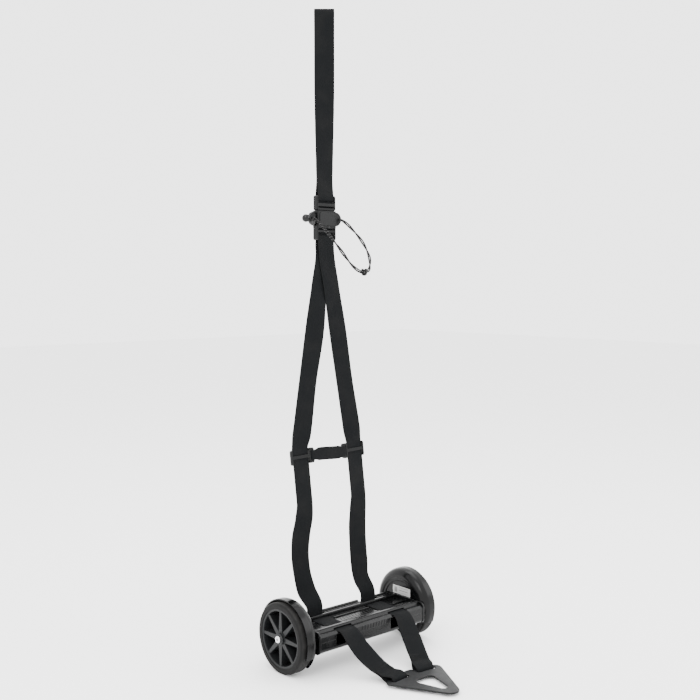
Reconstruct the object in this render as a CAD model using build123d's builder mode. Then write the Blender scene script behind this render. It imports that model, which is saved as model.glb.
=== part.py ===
"""Two-wheeled drag cart: a wheeled deck, a webbing harness with a quick-release buckle, and a toe plate.

The object's frame has +X to the right wheel, +Y to the rear, +Z up, and its origin at the crown of
the hand loop, which is where the cart is held. Everything is first thought of in the cart's own
frame, whose origin is on the ground under the middle of the axle: place(), level(), across() and
facing() turn those coordinates into the object's frame.
"""

import os
from math import cos, pi, radians, sin, tan

from build123d import *

os.makedirs("parts", exist_ok=True)

# ---- driving dimensions, millimetres, in the cart's own frame ----
GRIP_X = -10.0
GRIP_Y = 62.0
GRIP_HEIGHT = 1220.0
GRIP_TWIST = -41.0

WEBBING = 38.0
WEB_THICK = 1.6
WEB_SPLIT = 1.3
FREE_GAP = 0.35
RUNNING_GAP = 0.05

WHEEL_RADIUS = 65.0
TYRE_WIDTH = 27.0
TYRE_INNER_RADIUS = 54.0
RIM_INNER_RADIUS = 49.5
HUB_RADIUS = 11.0
SPOKES = 8
SPOKE_WIDTH = 9.5
SPOKE_TAPER = 87
AXLE_RADIUS = 5.0
CAP_RADIUS = 6.5
CAP_DEPTH = 4.0
CAP_BORE_DEPTH = 2.5
CAP_ROUNDING = 1.8
WASHER_RADIUS = 9.5
WASHER_THICK = 2.0
WASHER_GAP = 1.6
TYRE_ROUNDING = 5.0
WHEEL_INNER_X = 142.5

DECK_HALF_LENGTH = 132.0
DECK_FRONT_Y = -68.7
DECK_REAR_Y = 30.8
DECK_BOTTOM = 44.3
DECK_TOP = 83.3
DECK_FLOOR = 77.0
DECK_WALL = 3.0
BASE_ROUNDING = 9.0
FRONT_LIP = 79.0
RAIL_UNDERSIDE = 79.4

GUARD_RADIUS = 70.4
GUARD_WALL = 2.5
GUARD_EDGE_X = 160.0

LABEL_LENGTH = 49.0
LABEL_HEIGHT = 16.0
LABEL_THICK = 0.6
LABEL_Y = -1.5
LABEL_Z = 91.5

SLOT_X = 67.5
SLOT_Y = 23.5
WEB_LANE = 42.0

BUCKLE_HALF_WIDTH = 23.0
BUCKLE_DEPTH = 15.0
BUCKLE_TOP = 872.0
BUCKLE_SPLIT = 843.0
BUCKLE_BOTTOM = 787.0
BAR_RADIUS = 3.0
TOP_BAR_Z = 865.5
LOW_BAR_Z = 793.5
EAR_Z = 828.0

SLIDER_Z = 379.0
SLIDER_SHIFT_X = -7.5
SLIDER_Y = 56.0
SLIDER_HEIGHT = 29.0
CROSS_WEBBING = 25.0

PLATE_THICK = 3.0
PLATE_BOTTOM = 5.0
PLATE_SLOT_X = 33.0
PLATE_SLOT_TURN = 6.0
PLATE_SLOT_WIDTH = 9.0
PLATE_SLOT_LENGTH = 44.0
PLATE_BAR_Y = -166.0
PLATE_BAR = 5.0
EYE_RADIUS = 5.6

CORD_DIAMETER = 5.0

# ---- sizes that follow from them ----
AXLE_Z = WHEEL_RADIUS
WHEEL_OUTER_X = WHEEL_INNER_X + TYRE_WIDTH
BEND_RADIUS = BAR_RADIUS + FREE_GAP + WEB_THICK / 2
FOLD_Z = DECK_TOP + 2.0
SIDES = {"left": -1, "right": 1}
X_WAY = Vector(1, 0, 0)


def place(x, y, z):
    """A point of the cart's own frame, in the object's frame."""
    return Vector(x - GRIP_X, y - GRIP_Y, z - GRIP_HEIGHT)


def level(z):
    """A level plane at height z, seen from above."""
    return Plane(origin=place(0, 0, z), x_dir=(1, 0, 0), z_dir=(0, 0, 1))


def across(x):
    """A plane square to the axle at x, whose sketch axes are the cart's Y and Z."""
    return Plane(origin=place(x, 0, 0), x_dir=(0, 1, 0), z_dir=(1, 0, 0))


def facing(y):
    """A plane square to the travel at y, whose sketch axes are the cart's X and Z."""
    return Plane(origin=place(0, y, 0), x_dir=(1, 0, 0), z_dir=(0, -1, 0))


def ribbon(points, wide=X_WAY, widths=WEBBING, thick=WEB_THICK):
    """Webbing lofted along points, each section square to the line and laid along its width direction."""
    sections = []
    for i, point in enumerate(points):
        run = (points[min(i + 1, len(points) - 1)] - points[max(i - 1, 0)]).normalized()
        way = wide[i] if isinstance(wide, list) else wide
        width = widths[i] if isinstance(widths, list) else widths
        with BuildSketch(Plane(origin=point, x_dir=way - run * way.dot(run), z_dir=run)) as section:
            Rectangle(width, thick)
        sections.append(section.sketch)
    loft(sections, ruled=True)


def save(piece, name):
    """Label a finished piece and write its file."""
    piece.part.label = name
    export_step(piece.part, f"parts/{name}.step")


# ---- wheels ----
def make_wheel(name, side):
    """A spoked rim, its tyre, an inner washer and an outer push cap."""
    inner = min(side * WHEEL_INNER_X, side * WHEEL_OUTER_X)
    middle = side * (WHEEL_INNER_X + TYRE_WIDTH / 2)
    with BuildPart() as rim:
        with BuildSketch(across(inner + 1)):
            with Locations((0, AXLE_Z)):
                Circle(TYRE_INNER_RADIUS)
                Circle(RIM_INNER_RADIUS, mode=Mode.SUBTRACT)
        extrude(amount=TYRE_WIDTH - 2)
        spoke_length = RIM_INNER_RADIUS - HUB_RADIUS + 4
        with BuildSketch(across(middle)):
            with Locations((0, AXLE_Z)):
                with PolarLocations(HUB_RADIUS - 2, SPOKES):
                    Trapezoid(SPOKE_WIDTH, spoke_length, SPOKE_TAPER, rotation=-90, align=(Align.CENTER, Align.MIN))
        extrude(amount=TYRE_WIDTH / 2 - 2.5, both=True)
        with BuildSketch(across(inner - 1)):
            with Locations((0, AXLE_Z)):
                Circle(HUB_RADIUS)
        extrude(amount=TYRE_WIDTH + 1.5)
        with BuildSketch(across(inner - 2)):
            with Locations((0, AXLE_Z)):
                Circle(AXLE_RADIUS + RUNNING_GAP)
        extrude(amount=TYRE_WIDTH + 4, mode=Mode.SUBTRACT)
        rings = rim.edges().filter_by(GeomType.CIRCLE)
        chamfer(rings.filter_by(lambda e: abs(e.radius - RIM_INNER_RADIUS) < 0.01 and e.length > 200), 1)
    save(rim, f"{name}_rim")

    with BuildPart() as tyre:
        with BuildSketch(across(inner)):
            with Locations((0, AXLE_Z)):
                Circle(WHEEL_RADIUS)
                Circle(TYRE_INNER_RADIUS, mode=Mode.SUBTRACT)
        extrude(amount=TYRE_WIDTH)
        outer = tyre.edges().filter_by(GeomType.CIRCLE).filter_by(lambda e: e.radius > WHEEL_RADIUS - 1)
        fillet(outer, TYRE_ROUNDING)
    save(tyre, f"{name}_tyre")

    washer_x = min(side * (WHEEL_INNER_X - WASHER_GAP - WASHER_THICK), side * (WHEEL_INNER_X - WASHER_GAP))
    with BuildPart() as washer:
        with BuildSketch(across(washer_x)):
            with Locations((0, AXLE_Z)):
                Circle(WASHER_RADIUS)
                Circle(AXLE_RADIUS + RUNNING_GAP, mode=Mode.SUBTRACT)
        extrude(amount=WASHER_THICK)
    save(washer, f"{name}_washer")

    cap_x = side * (WHEEL_OUTER_X + 1.2)
    cap_plane = Plane(origin=place(cap_x, 0, AXLE_Z), x_dir=(0, 1, 0), z_dir=(side, 0, 0))
    with BuildPart() as cap:
        with BuildSketch(cap_plane):
            Circle(CAP_RADIUS)
        extrude(amount=CAP_DEPTH)
        fillet(cap.faces().sort_by(Axis.X)[-1 if side > 0 else 0].edges(), CAP_ROUNDING)
        with BuildSketch(cap_plane):
            Circle(AXLE_RADIUS)
        extrude(amount=CAP_BORE_DEPTH, mode=Mode.SUBTRACT)
    save(cap, f"{name}_push_cap")


# ---- wheel guards: a round dome with a stepped recess at the deck's end, curling out over the tyre ----
GUARD_DISC = 3.8
GUARD_RECESS = [(GUARD_DISC, AXLE_RADIUS + 2), (GUARD_DISC, 45.0), (2.0, 47.0), (2.0, 50.5), (0.0, 53.0), (0.0, 57.0)]
GUARD_DOME = [(0.0, 57.0), (1.3, 61.4), (3.9, 65.2), (7.8, 68.3), (12.6, 69.9), (17.5, GUARD_RADIUS)]
GUARD_INSIDE = [
    (17.5, GUARD_RADIUS - GUARD_WALL),
    (13.0, 67.4),
    (9.2, 66.0),
    (6.0, 63.5),
    (3.9, 60.6),
    (2.5, 57.4),
    (2.5, 54.0),
    (4.5, 51.2),
    (4.5, 47.8),
    (6.2, 46.0),
    (6.2, AXLE_RADIUS + 2),
]
GUARD_RIM_LOW = 40.0
GUARD_DISH_LOW = 14.0


def make_guard(name, side):
    """One wheel's guard, open below so that the tyre meets the ground."""
    dish_x = DECK_HALF_LENGTH + 0.5
    turn = Plane(origin=place(0, 0, AXLE_Z), x_dir=(side, 0, 0), z_dir=(0, -side, 0))
    with BuildPart() as guard:
        with BuildSketch(turn):
            with BuildLine():
                Polyline(*[(dish_x + x, r) for x, r in GUARD_RECESS])
                Spline(*[(dish_x + x, r) for x, r in GUARD_DOME], tangents=((0, 1), (1, 0)))
                Polyline(
                    (dish_x + GUARD_DOME[-1][0], GUARD_RADIUS),
                    (GUARD_EDGE_X, GUARD_RADIUS),
                    (GUARD_EDGE_X, GUARD_RADIUS - GUARD_WALL),
                    *[(dish_x + x, r) for x, r in GUARD_INSIDE],
                    (dish_x + GUARD_DISC, AXLE_RADIUS + 2),
                )
            make_face()
        revolve(axis=Axis(place(0, 0, AXLE_Z), (1, 0, 0)))
        far = side * (GUARD_EDGE_X + 1)
        rim_x = dish_x + GUARD_DOME[2][0]
        for from_x, low in ((rim_x, GUARD_RIM_LOW), (dish_x - 1, GUARD_DISH_LOW)):
            with BuildSketch(across(min(side * from_x, far))) as below:
                with Locations((0, low)):
                    Rectangle(4 * WHEEL_RADIUS, 100, align=(Align.CENTER, Align.MAX))
            extrude(below.sketch, amount=GUARD_EDGE_X + 1 - from_x, mode=Mode.SUBTRACT)
    save(guard, f"{name}_wheel_guard")


for side_name, side_sign in SIDES.items():
    make_wheel(side_name, side_sign)
    make_guard(side_name, side_sign)

with BuildPart() as axle:
    with BuildSketch(across(-(WHEEL_OUTER_X + 3.7))):
        with Locations((0, AXLE_Z)):
            Circle(AXLE_RADIUS)
    extrude(amount=2 * (WHEEL_OUTER_X + 3.7))
save(axle, "axle")

with BuildPart() as label_plate:
    with BuildSketch(across(DECK_HALF_LENGTH + 0.5 + GUARD_DISC - LABEL_THICK)):
        with Locations((LABEL_Y, LABEL_Z)):
            RectangleRounded(LABEL_LENGTH, LABEL_HEIGHT, 1)
    extrude(amount=LABEL_THICK)
save(label_plate, "label_plate")

# ---- deck: an upper and a lower moulding that meet at the height of the axle ----
RIB_X = (-105.0, -35.0, 35.0, 105.0)
GRIP_RIBS = 9
GRIP_RIB_PITCH = 7.0
GRIP_RIB_WIDTH = 3.2
GRIP_RIB_HEIGHT = 8.0
GRIP_RIB_LEAN = -12
GRIP_RIB_Z = 71.0
GRIP_RIB_PROUD = 0.8


def add_ribs(top, bottom):
    """Cross ribs inside a deck half."""
    for rib_x in RIB_X:
        with BuildSketch(across(rib_x - 1.5)) as rib:
            with Locations(((DECK_FRONT_Y + DECK_REAR_Y) / 2, (top + bottom) / 2)):
                Rectangle(DECK_REAR_Y - DECK_FRONT_Y - 2 * DECK_WALL + 0.2, top - bottom)
        extrude(rib.sketch, amount=3)


def cut_axle_seat():
    """The half-round seat that the axle lies in."""
    with BuildSketch(across(-DECK_HALF_LENGTH - 1)) as seat:
        with Locations((0, AXLE_Z)):
            Circle(AXLE_RADIUS)
    extrude(seat.sketch, amount=2 * DECK_HALF_LENGTH + 2, mode=Mode.SUBTRACT)


def cut_front_windows(low, high):
    """The openings in the front wall, one behind each toe strap."""
    for sign in SIDES.values():
        with BuildSketch(facing(DECK_FRONT_Y + DECK_WALL + 1)) as window:
            with Locations((sign * SLOT_X - 2, (low + high) / 2)):
                Rectangle(WEB_LANE + 4, high - low)
        extrude(window.sketch, amount=DECK_WALL + 4, mode=Mode.SUBTRACT)


with BuildPart() as deck_shell:
    with BuildSketch(across(-DECK_HALF_LENGTH)):
        with BuildLine():
            Polyline(
                (DECK_FRONT_Y, AXLE_Z),
                (DECK_FRONT_Y, FRONT_LIP - 4),
                (DECK_FRONT_Y + 4, FRONT_LIP),
                (-57, FRONT_LIP),
                (-55, DECK_TOP),
                (-47, DECK_TOP),
                (-45.5, DECK_FLOOR),
                (7, DECK_FLOOR),
                (8, DECK_TOP),
                (14, DECK_TOP),
                (15, DECK_TOP - 3),
                (18, DECK_TOP - 3),
                (19, DECK_TOP),
                (DECK_REAR_Y - 6, DECK_TOP),
                (DECK_REAR_Y, DECK_TOP - 6),
                (DECK_REAR_Y, AXLE_Z),
                close=True,
            )
        make_face()
    extrude(amount=2 * DECK_HALF_LENGTH)
    with BuildSketch(across(-DECK_HALF_LENGTH + DECK_WALL)):
        with BuildLine():
            Polyline(
                (DECK_FRONT_Y + DECK_WALL, AXLE_Z),
                (DECK_FRONT_Y + DECK_WALL, DECK_FLOOR - DECK_WALL),
                (DECK_REAR_Y - DECK_WALL, DECK_FLOOR - DECK_WALL),
                (DECK_REAR_Y - DECK_WALL, AXLE_Z),
                close=True,
            )
        make_face()
    extrude(amount=2 * (DECK_HALF_LENGTH - DECK_WALL), mode=Mode.SUBTRACT)
    add_ribs(DECK_FLOOR - DECK_WALL + 0.2, AXLE_Z)
    cut_axle_seat()
    for sign in SIDES.values():
        lane = across(sign * SLOT_X - WEB_LANE / 2)
        with BuildSketch(lane):
            with BuildLine():
                Polyline(
                    (-58, DECK_FLOOR),
                    (-58, RAIL_UNDERSIDE),
                    (16, RAIL_UNDERSIDE),
                    (16, DECK_TOP + 1),
                    (SLOT_Y + 2.5, DECK_TOP + 1),
                    (SLOT_Y + 2.5, DECK_FLOOR),
                    close=True,
                )
            make_face()
        extrude(amount=WEB_LANE, mode=Mode.SUBTRACT)
        with BuildSketch(lane):
            with Locations((-61.5, FRONT_LIP)):
                Rectangle(18, 2 * (FRONT_LIP - DECK_FLOOR))
        extrude(amount=WEB_LANE, mode=Mode.SUBTRACT)
    cut_front_windows(AXLE_Z - 1, DECK_FLOOR - DECK_WALL)
    with BuildSketch(facing(DECK_FRONT_Y)):
        with Locations((0, GRIP_RIB_Z)):
            with GridLocations(GRIP_RIB_PITCH, 1, GRIP_RIBS, 1):
                Rectangle(GRIP_RIB_WIDTH, GRIP_RIB_HEIGHT, rotation=GRIP_RIB_LEAN)
    extrude(amount=GRIP_RIB_PROUD)
save(deck_shell, "deck_shell")

with BuildPart() as base_shell:
    with BuildSketch(across(-DECK_HALF_LENGTH)):
        with Locations(((DECK_FRONT_Y + DECK_REAR_Y) / 2, DECK_BOTTOM)):
            Rectangle(DECK_REAR_Y - DECK_FRONT_Y, AXLE_Z - DECK_BOTTOM, align=(Align.CENTER, Align.MIN))
    extrude(amount=2 * DECK_HALF_LENGTH)
    fillet(base_shell.faces().sort_by(Axis.Z)[0].edges(), BASE_ROUNDING)
    inner_depth = DECK_REAR_Y - DECK_FRONT_Y - 2 * DECK_WALL
    with BuildSketch(level(AXLE_Z)):
        with Locations((0, (DECK_FRONT_Y + DECK_REAR_Y) / 2)):
            Rectangle(2 * (DECK_HALF_LENGTH - DECK_WALL), inner_depth)
    extrude(amount=-(AXLE_Z - DECK_BOTTOM - DECK_WALL), mode=Mode.SUBTRACT)
    add_ribs(AXLE_Z, DECK_BOTTOM + DECK_WALL - 0.2)
    cut_axle_seat()
    cut_front_windows(DECK_BOTTOM + 9, AXLE_Z + 1)
    with Locations(*[place(x, y, DECK_BOTTOM + 12) for x in (-118, 118) for y in (-58, 20)]):
        Cylinder(4.5, 20, align=(Align.CENTER, Align.CENTER, Align.CENTER))
        Cylinder(1.5, 60, mode=Mode.SUBTRACT)
save(base_shell, "base_shell")

# ---- deck screws: four, up through the base shell ----
SCREW_HEAD_RADIUS = 3.2
SCREW_HEAD_DEPTH = 1.8
SCREW_RADIUS = 1.5
SCREW_LENGTH = 18.0
with BuildPart() as deck_screws:
    for x in (-118, 118):
        for y in (-58, 20):
            with BuildSketch(level(DECK_BOTTOM - SCREW_HEAD_DEPTH)):
                with Locations((x, y)):
                    Circle(SCREW_HEAD_RADIUS)
            extrude(amount=SCREW_HEAD_DEPTH)
            with BuildSketch(level(DECK_BOTTOM)):
                with Locations((x, y)):
                    Circle(SCREW_RADIUS)
            extrude(amount=SCREW_LENGTH)
save(deck_screws, "deck_screws")

# ---- webbing through the deck: down the rear slot, under both rails, over the front lip ----
WEB_Z = DECK_FLOOR + 0.9
for side_name, side_sign in SIDES.items():
    x = side_sign * SLOT_X
    with BuildPart() as deck_webbing:
        bend = [(SLOT_Y - 3.5 + 3.5 * cos(a), WEB_Z + 3.5 - 3.5 * sin(a)) for a in (0, pi / 6, pi / 3, pi / 2)]
        ribbon([place(x, y, z) for y, z in [(SLOT_Y, FOLD_Z - 1.2)] + bend + [(-68.0, WEB_Z)]])
    save(deck_webbing, f"{side_name}_deck_webbing")

# ---- toe straps: from the front lip to an eye round the toe plate's slot bar, sewn back on themselves ----
BAR_Z = PLATE_BOTTOM + PLATE_THICK / 2


def slot_bar(sign):
    """The middle of a toe plate slot's bar, the way along it, and the level way forwards across it."""
    turn = radians(-sign * PLATE_SLOT_TURN)
    middle = place(sign * PLATE_SLOT_X, PLATE_BAR_Y, BAR_Z)
    return middle, Vector(cos(turn), sin(turn), 0), Vector(sin(turn), -cos(turn), 0)


def round_bar(middle, forward, angle):
    """A point on the strap's eye, at an angle in degrees about the slot's bar."""
    a = radians(angle)
    return middle + forward * (EYE_RADIUS * cos(a)) + Vector(0, 0, EYE_RADIUS * sin(a))


STRAP_LINE = [(-71.5, WEB_Z), (-79.5, 72.5), (-92.0, 58.5), (-110.0, 41.0), (-129.0, 26.0), (-147.0, 15.0)]
STRAP_DROP = 29.0
for side_name, sign in SIDES.items():
    middle, along, forward = slot_bar(sign)
    points = []
    ways = []
    for y, z in STRAP_LINE:
        share = (STRAP_LINE[0][0] - y) / (STRAP_LINE[0][0] - PLATE_BAR_Y)
        start = place(sign * SLOT_X, y, z)
        points.append(start - Vector(sign * share**1.5 * (SLOT_X - PLATE_SLOT_X), 0, 0))
        ways.append(X_WAY + (along - X_WAY) * share)
    eye_angles = [270 - STRAP_DROP + 22.5 * i for i in range(9)]
    eye = [round_bar(middle, forward, angle) for angle in eye_angles]
    lift = Vector(0, 0, WEB_THICK + 0.5)
    tab = [eye[-1], points[-1] + lift, (points[-1] + points[-2]) * 0.5 + lift]
    with BuildPart() as toe_strap:
        ribbon(points + eye, ways + [along] * len(eye))
        ribbon(tab, along)
    save(toe_strap, f"{side_name}_toe_strap")

# ---- toe plate: a rounded triangle with two strap slots and a hook hole ----
with BuildPart() as toe_plate:
    with BuildSketch(level(PLATE_BOTTOM)):
        with Locations((-53, -176), (53, -176)):
            Circle(12)
        with Locations((0, -160)):
            Circle(8)
        with Locations((0, -260)):
            Circle(18)
        make_hull()
    extrude(amount=PLATE_THICK)
    chamfer(toe_plate.faces().sort_by(Axis.Z)[-1].edges(), 0.6)
    with BuildSketch(level(PLATE_BOTTOM)):
        with Locations((-11, -205), (11, -205)):
            Circle(10)
        with Locations((0, -246)):
            Circle(9)
        make_hull()
    extrude(amount=PLATE_THICK, mode=Mode.SUBTRACT)
    with BuildSketch(level(PLATE_BOTTOM)):
        for sign in SIDES.values():
            turn = -sign * PLATE_SLOT_TURN
            reach = PLATE_BAR / 2 + PLATE_SLOT_WIDTH / 2
            slot_x = sign * PLATE_SLOT_X + reach * sin(radians(turn))
            slot_y = PLATE_BAR_Y - reach * cos(radians(turn))
            with Locations(Location((slot_x, slot_y), turn)):
                SlotOverall(PLATE_SLOT_LENGTH, PLATE_SLOT_WIDTH)
            back_x = sign * PLATE_SLOT_X - (PLATE_BAR / 2) * sin(radians(turn))
            back_y = PLATE_BAR_Y + (PLATE_BAR / 2) * cos(radians(turn))
            with Locations(Location((back_x, back_y), turn)):
                Rectangle(WEB_LANE + 2, 20, align=(Align.CENTER, Align.MIN))
    extrude(amount=PLATE_THICK, mode=Mode.SUBTRACT)
save(toe_plate, "toe_plate")

# ---- harness: webbing looped over the buckle's lower bar, with one leg down to each rear slot ----
LEG_KINK = SLIDER_HEIGHT / 2 + 1.5
LEG_RUN = (Vector(-SLIDER_SHIFT_X, SLOT_Y - SLIDER_Y, FOLD_Z - SLIDER_Z)).normalized()
BEND_FOOT = 785.0


def bend_points(bar_z, over):
    """Points half-way round a buckle bar, from its front to its back: over the top, or under it."""
    flip = 1 if over else -1
    angles = [radians(a) for a in range(180, -1, -30)]
    return [place(GRIP_X, GRIP_Y + BEND_RADIUS * cos(a), bar_z + flip * BEND_RADIUS * sin(a)) for a in angles]


with BuildPart() as harness_bend:
    front_foot = place(GRIP_X, GRIP_Y - BEND_RADIUS, BEND_FOOT)
    rear_foot = place(GRIP_X, GRIP_Y + BEND_RADIUS, BEND_FOOT)
    ribbon([front_foot] + bend_points(LOW_BAR_Z, True) + [rear_foot])
save(harness_bend, "harness_bend")

for side_name, sign in SIDES.items():
    layer = -1 if sign > 0 else 1
    slider = place(sign * SLOT_X + SLIDER_SHIFT_X, SLIDER_Y, SLIDER_Z)
    foot = slider + LEG_RUN * ((SLIDER_Z - FOLD_Z - WEB_THICK / 2) / -LEG_RUN.Z)
    leg_points = [
        place(GRIP_X, GRIP_Y + layer * BEND_RADIUS, BEND_FOOT),
        place(GRIP_X, GRIP_Y + layer * BEND_RADIUS, BEND_FOOT - 4),
        place(GRIP_X + 2 * sign, GRIP_Y - 1 + layer * 2.2, BEND_FOOT - 20),
        slider - LEG_RUN * LEG_KINK,
        foot,
    ]
    with BuildPart() as harness_leg:
        ribbon(leg_points)
    save(harness_leg, f"{side_name}_harness_leg")

# ---- sliders: tri-bar frames that the legs thread through, with an inner slot for the cross strap ----
SLIDER_HALF = WEBBING / 2 + 0.8
RAIL = 3.0
LANE_HALF = WEB_THICK / 2 + FREE_GAP
CROSS_SLOT = 3.4
CROSS_SLOT_X = SLIDER_HALF + RAIL + CROSS_SLOT / 2
CROSS_BAR = 5.0
SLIDER_INNER_X = CROSS_SLOT_X + CROSS_SLOT / 2 + CROSS_BAR
SLIDER_OUTER_X = SLIDER_HALF + RAIL
LEG_SIDE = (X_WAY - LEG_RUN * X_WAY.dot(LEG_RUN)).normalized()
LEG_BACK = LEG_SIDE.cross(LEG_RUN)


def slider_middle(sign):
    """The middle of a slider, on the webbing that runs through it."""
    return place(sign * SLOT_X + SLIDER_SHIFT_X, SLIDER_Y, SLIDER_Z)


for side_name, sign in SIDES.items():
    face = Plane(origin=slider_middle(sign), x_dir=LEG_SIDE * -sign, z_dir=LEG_BACK)
    frame_middle = (SLIDER_INNER_X - SLIDER_OUTER_X) / 2
    with BuildPart() as slider:
        with BuildSketch(face):
            with Locations((frame_middle, 0)):
                RectangleRounded(SLIDER_INNER_X + SLIDER_OUTER_X, SLIDER_HEIGHT, 4)
        extrude(amount=RAIL, both=True)
        with BuildSketch(face):
            Rectangle(2 * SLIDER_HALF, SLIDER_HEIGHT - 9)
            with Locations((CROSS_SLOT_X, 0)):
                Rectangle(CROSS_SLOT, SLIDER_HEIGHT - 8)
        extrude(amount=RAIL, both=True, mode=Mode.SUBTRACT)
        with BuildSketch(face.offset(-RAIL - 0.1)):
            Rectangle(2 * SLIDER_HALF, SLIDER_HEIGHT + 2)
        extrude(amount=RAIL + 0.1 + LANE_HALF, mode=Mode.SUBTRACT)
        with BuildSketch(face.offset(-RAIL)):
            Rectangle(2 * SLIDER_HALF + 1, 6)
        extrude(amount=RAIL - LANE_HALF)
    save(slider, f"{side_name}_slider")

# ---- cross strap: narrower webbing threaded into both sliders' inner slots ----
STRAP_FACE = RAIL + FREE_GAP + WEB_THICK / 2


def cross_point(sign, inward, back):
    """A point beside a slider: inward along its width, and back from its webbing."""
    return slider_middle(sign) - LEG_SIDE * (sign * inward) + LEG_BACK * back


cross_profile = [
    (CROSS_SLOT_X, 2.4, 18),
    (CROSS_SLOT_X, -2.0, 18),
    (CROSS_SLOT_X + 0.8, -STRAP_FACE + 0.6, 18),
    (CROSS_SLOT_X + 2.6, -STRAP_FACE, 18.5),
    (SLIDER_INNER_X + 2, -STRAP_FACE, 20),
    (SLIDER_INNER_X + 12, -STRAP_FACE + 0.8, CROSS_WEBBING),
]
left_half = [cross_point(-1, inward, back) for inward, back, _ in cross_profile]
right_half = [cross_point(1, inward, back) for inward, back, _ in reversed(cross_profile)]
half_widths = [width for _, _, width in cross_profile]
with BuildPart() as cross_strap:
    ribbon(left_half + right_half, LEG_RUN * -1, half_widths + half_widths[::-1])
save(cross_strap, "cross_strap")

# ---- buckle: an upper half with two sprung prongs, and a lower half that they latch into ----
BUCKLE_WINDOW = WEBBING + 2.4
LADDER_DEPTH = 12.0
BUCKLE_WIDTH = 2 * BUCKLE_HALF_WIDTH
PRONG_ROOT_Z = BUCKLE_SPLIT - 0.5
PRONG_ROOT_X = 12.0
EAR_REACH = 38.0
BALL_RADIUS = 7.5
PRONG_DEPTH = 7.8
SOCKET_FLOOR = 814.0
buckle_plane = facing(GRIP_Y)


def cut_ladder(low, high):
    """A slot right through a buckle half, as wide as the webbing."""
    with BuildSketch(buckle_plane) as slot:
        with Locations((GRIP_X, (low + high) / 2)):
            Rectangle(BUCKLE_WINDOW, high - low)
    extrude(slot.sketch, amount=BUCKLE_DEPTH, both=True, mode=Mode.SUBTRACT)


def add_bar(bar_z):
    """The round bar that webbing loops round."""
    with BuildSketch(across(GRIP_X - BUCKLE_WINDOW / 2 - 0.5)) as bar:
        with Locations((GRIP_Y, bar_z)):
            Circle(BAR_RADIUS)
    extrude(bar.sketch, amount=BUCKLE_WINDOW + 1)


with BuildPart() as buckle_top:
    with BuildSketch(buckle_plane):
        with Locations((GRIP_X, (BUCKLE_TOP + BUCKLE_SPLIT + 0.3) / 2)):
            RectangleRounded(BUCKLE_WIDTH, BUCKLE_TOP - BUCKLE_SPLIT - 0.3, 4)
    extrude(amount=LADDER_DEPTH / 2, both=True)
    fillet(buckle_top.edges().filter_by(Axis.Z), 1.5)
    cut_ladder(857, BUCKLE_TOP + 1)
    add_bar(TOP_BAR_Z)
    cut_ladder(848, 851.4)
    with BuildSketch(buckle_plane):
        with Locations((GRIP_X, BUCKLE_SPLIT + 1)):
            Rectangle(5.6, 26, align=(Align.CENTER, Align.MAX))
    extrude(amount=3.6, both=True)
save(buckle_top, "buckle_top_half")

with BuildPart() as buckle_base:
    with BuildSketch(buckle_plane):
        with Locations((GRIP_X, (BUCKLE_SPLIT + BUCKLE_BOTTOM) / 2)):
            RectangleRounded(BUCKLE_WIDTH, BUCKLE_SPLIT - BUCKLE_BOTTOM, 5)
    extrude(amount=LADDER_DEPTH / 2, both=True)
    with BuildSketch(buckle_plane):
        with Locations((GRIP_X, (BUCKLE_SPLIT + SOCKET_FLOOR - 3) / 2)):
            Rectangle(BUCKLE_WIDTH, BUCKLE_SPLIT - SOCKET_FLOOR + 3)
    extrude(amount=BUCKLE_DEPTH / 2, both=True)
    fillet(buckle_base.edges().filter_by(Axis.Z).filter_by(lambda e: abs(e.center().Y) > LADDER_DEPTH / 2 + 0.1), 1.5)
    with BuildSketch(level(SOCKET_FLOOR)):
        with Locations((GRIP_X, GRIP_Y)):
            Rectangle(BUCKLE_WIDTH - 7, PRONG_DEPTH + 1)
    extrude(amount=BUCKLE_SPLIT, mode=Mode.SUBTRACT)
    with BuildSketch(across(GRIP_X - BUCKLE_WIDTH)):
        with Locations((GRIP_Y, (SOCKET_FLOOR + 1 + 839) / 2)):
            Rectangle(PRONG_DEPTH + 1, 839 - SOCKET_FLOOR - 1)
    extrude(amount=2 * BUCKLE_WIDTH, mode=Mode.SUBTRACT)
    cut_ladder(BUCKLE_BOTTOM - 1, 802.5)
    add_bar(LOW_BAR_Z)
    cut_ladder(806.5, 810)
save(buckle_base, "buckle_base_half")

for side_name, sign in SIDES.items():
    with BuildPart() as prong:
        with BuildSketch(buckle_plane) as prong_outline:
            with BuildLine():
                Polyline(
                    *[
                        (GRIP_X + sign * x, z)
                        for x, z in (
                            (10, PRONG_ROOT_Z),
                            (10, 818),
                            (26.8, 818),
                            (28.5, 815),
                            (34, 818),
                            (EAR_REACH, 824),
                            (EAR_REACH, 832),
                            (34, 838),
                            (28.5, 841),
                            (26.8, 837),
                            (14, 837),
                            (14, PRONG_ROOT_Z),
                        )
                    ],
                    close=True,
                )
            make_face()
        extrude(amount=PRONG_DEPTH / 2, both=True)
        fillet(prong.edges().filter_by(Axis.Y).filter_by(lambda e: abs(e.center().X) > 30), 1.5)
    save(prong, f"{side_name}_prong")

# ---- hand loop: doubled webbing round the top bar, twisted, and open at its crown ----
CROWN_RADIUS = 7.0
CROWN_Z = GRIP_HEIGHT - WEB_THICK / 2 - CROWN_RADIUS
STRAND_GAPS = [(TOP_BAR_Z, BEND_RADIUS), (878, 3.2), (894, WEB_SPLIT), (1180, WEB_SPLIT), (1196, 4.6), (CROWN_Z, 7.0)]
TWIST_FROM = 884.0
TWIST_TO = 1176.0


def twist_at(z):
    """The loop's turn about the vertical at height z, in radians, eased at both ends."""
    share = min(max((z - TWIST_FROM) / (TWIST_TO - TWIST_FROM), 0), 1)
    return radians(GRIP_TWIST) * share * share * (3 - 2 * share)


def width_way(z):
    """The way along the loop's width at height z."""
    return Vector(cos(twist_at(z)), sin(twist_at(z)), 0)


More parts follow.
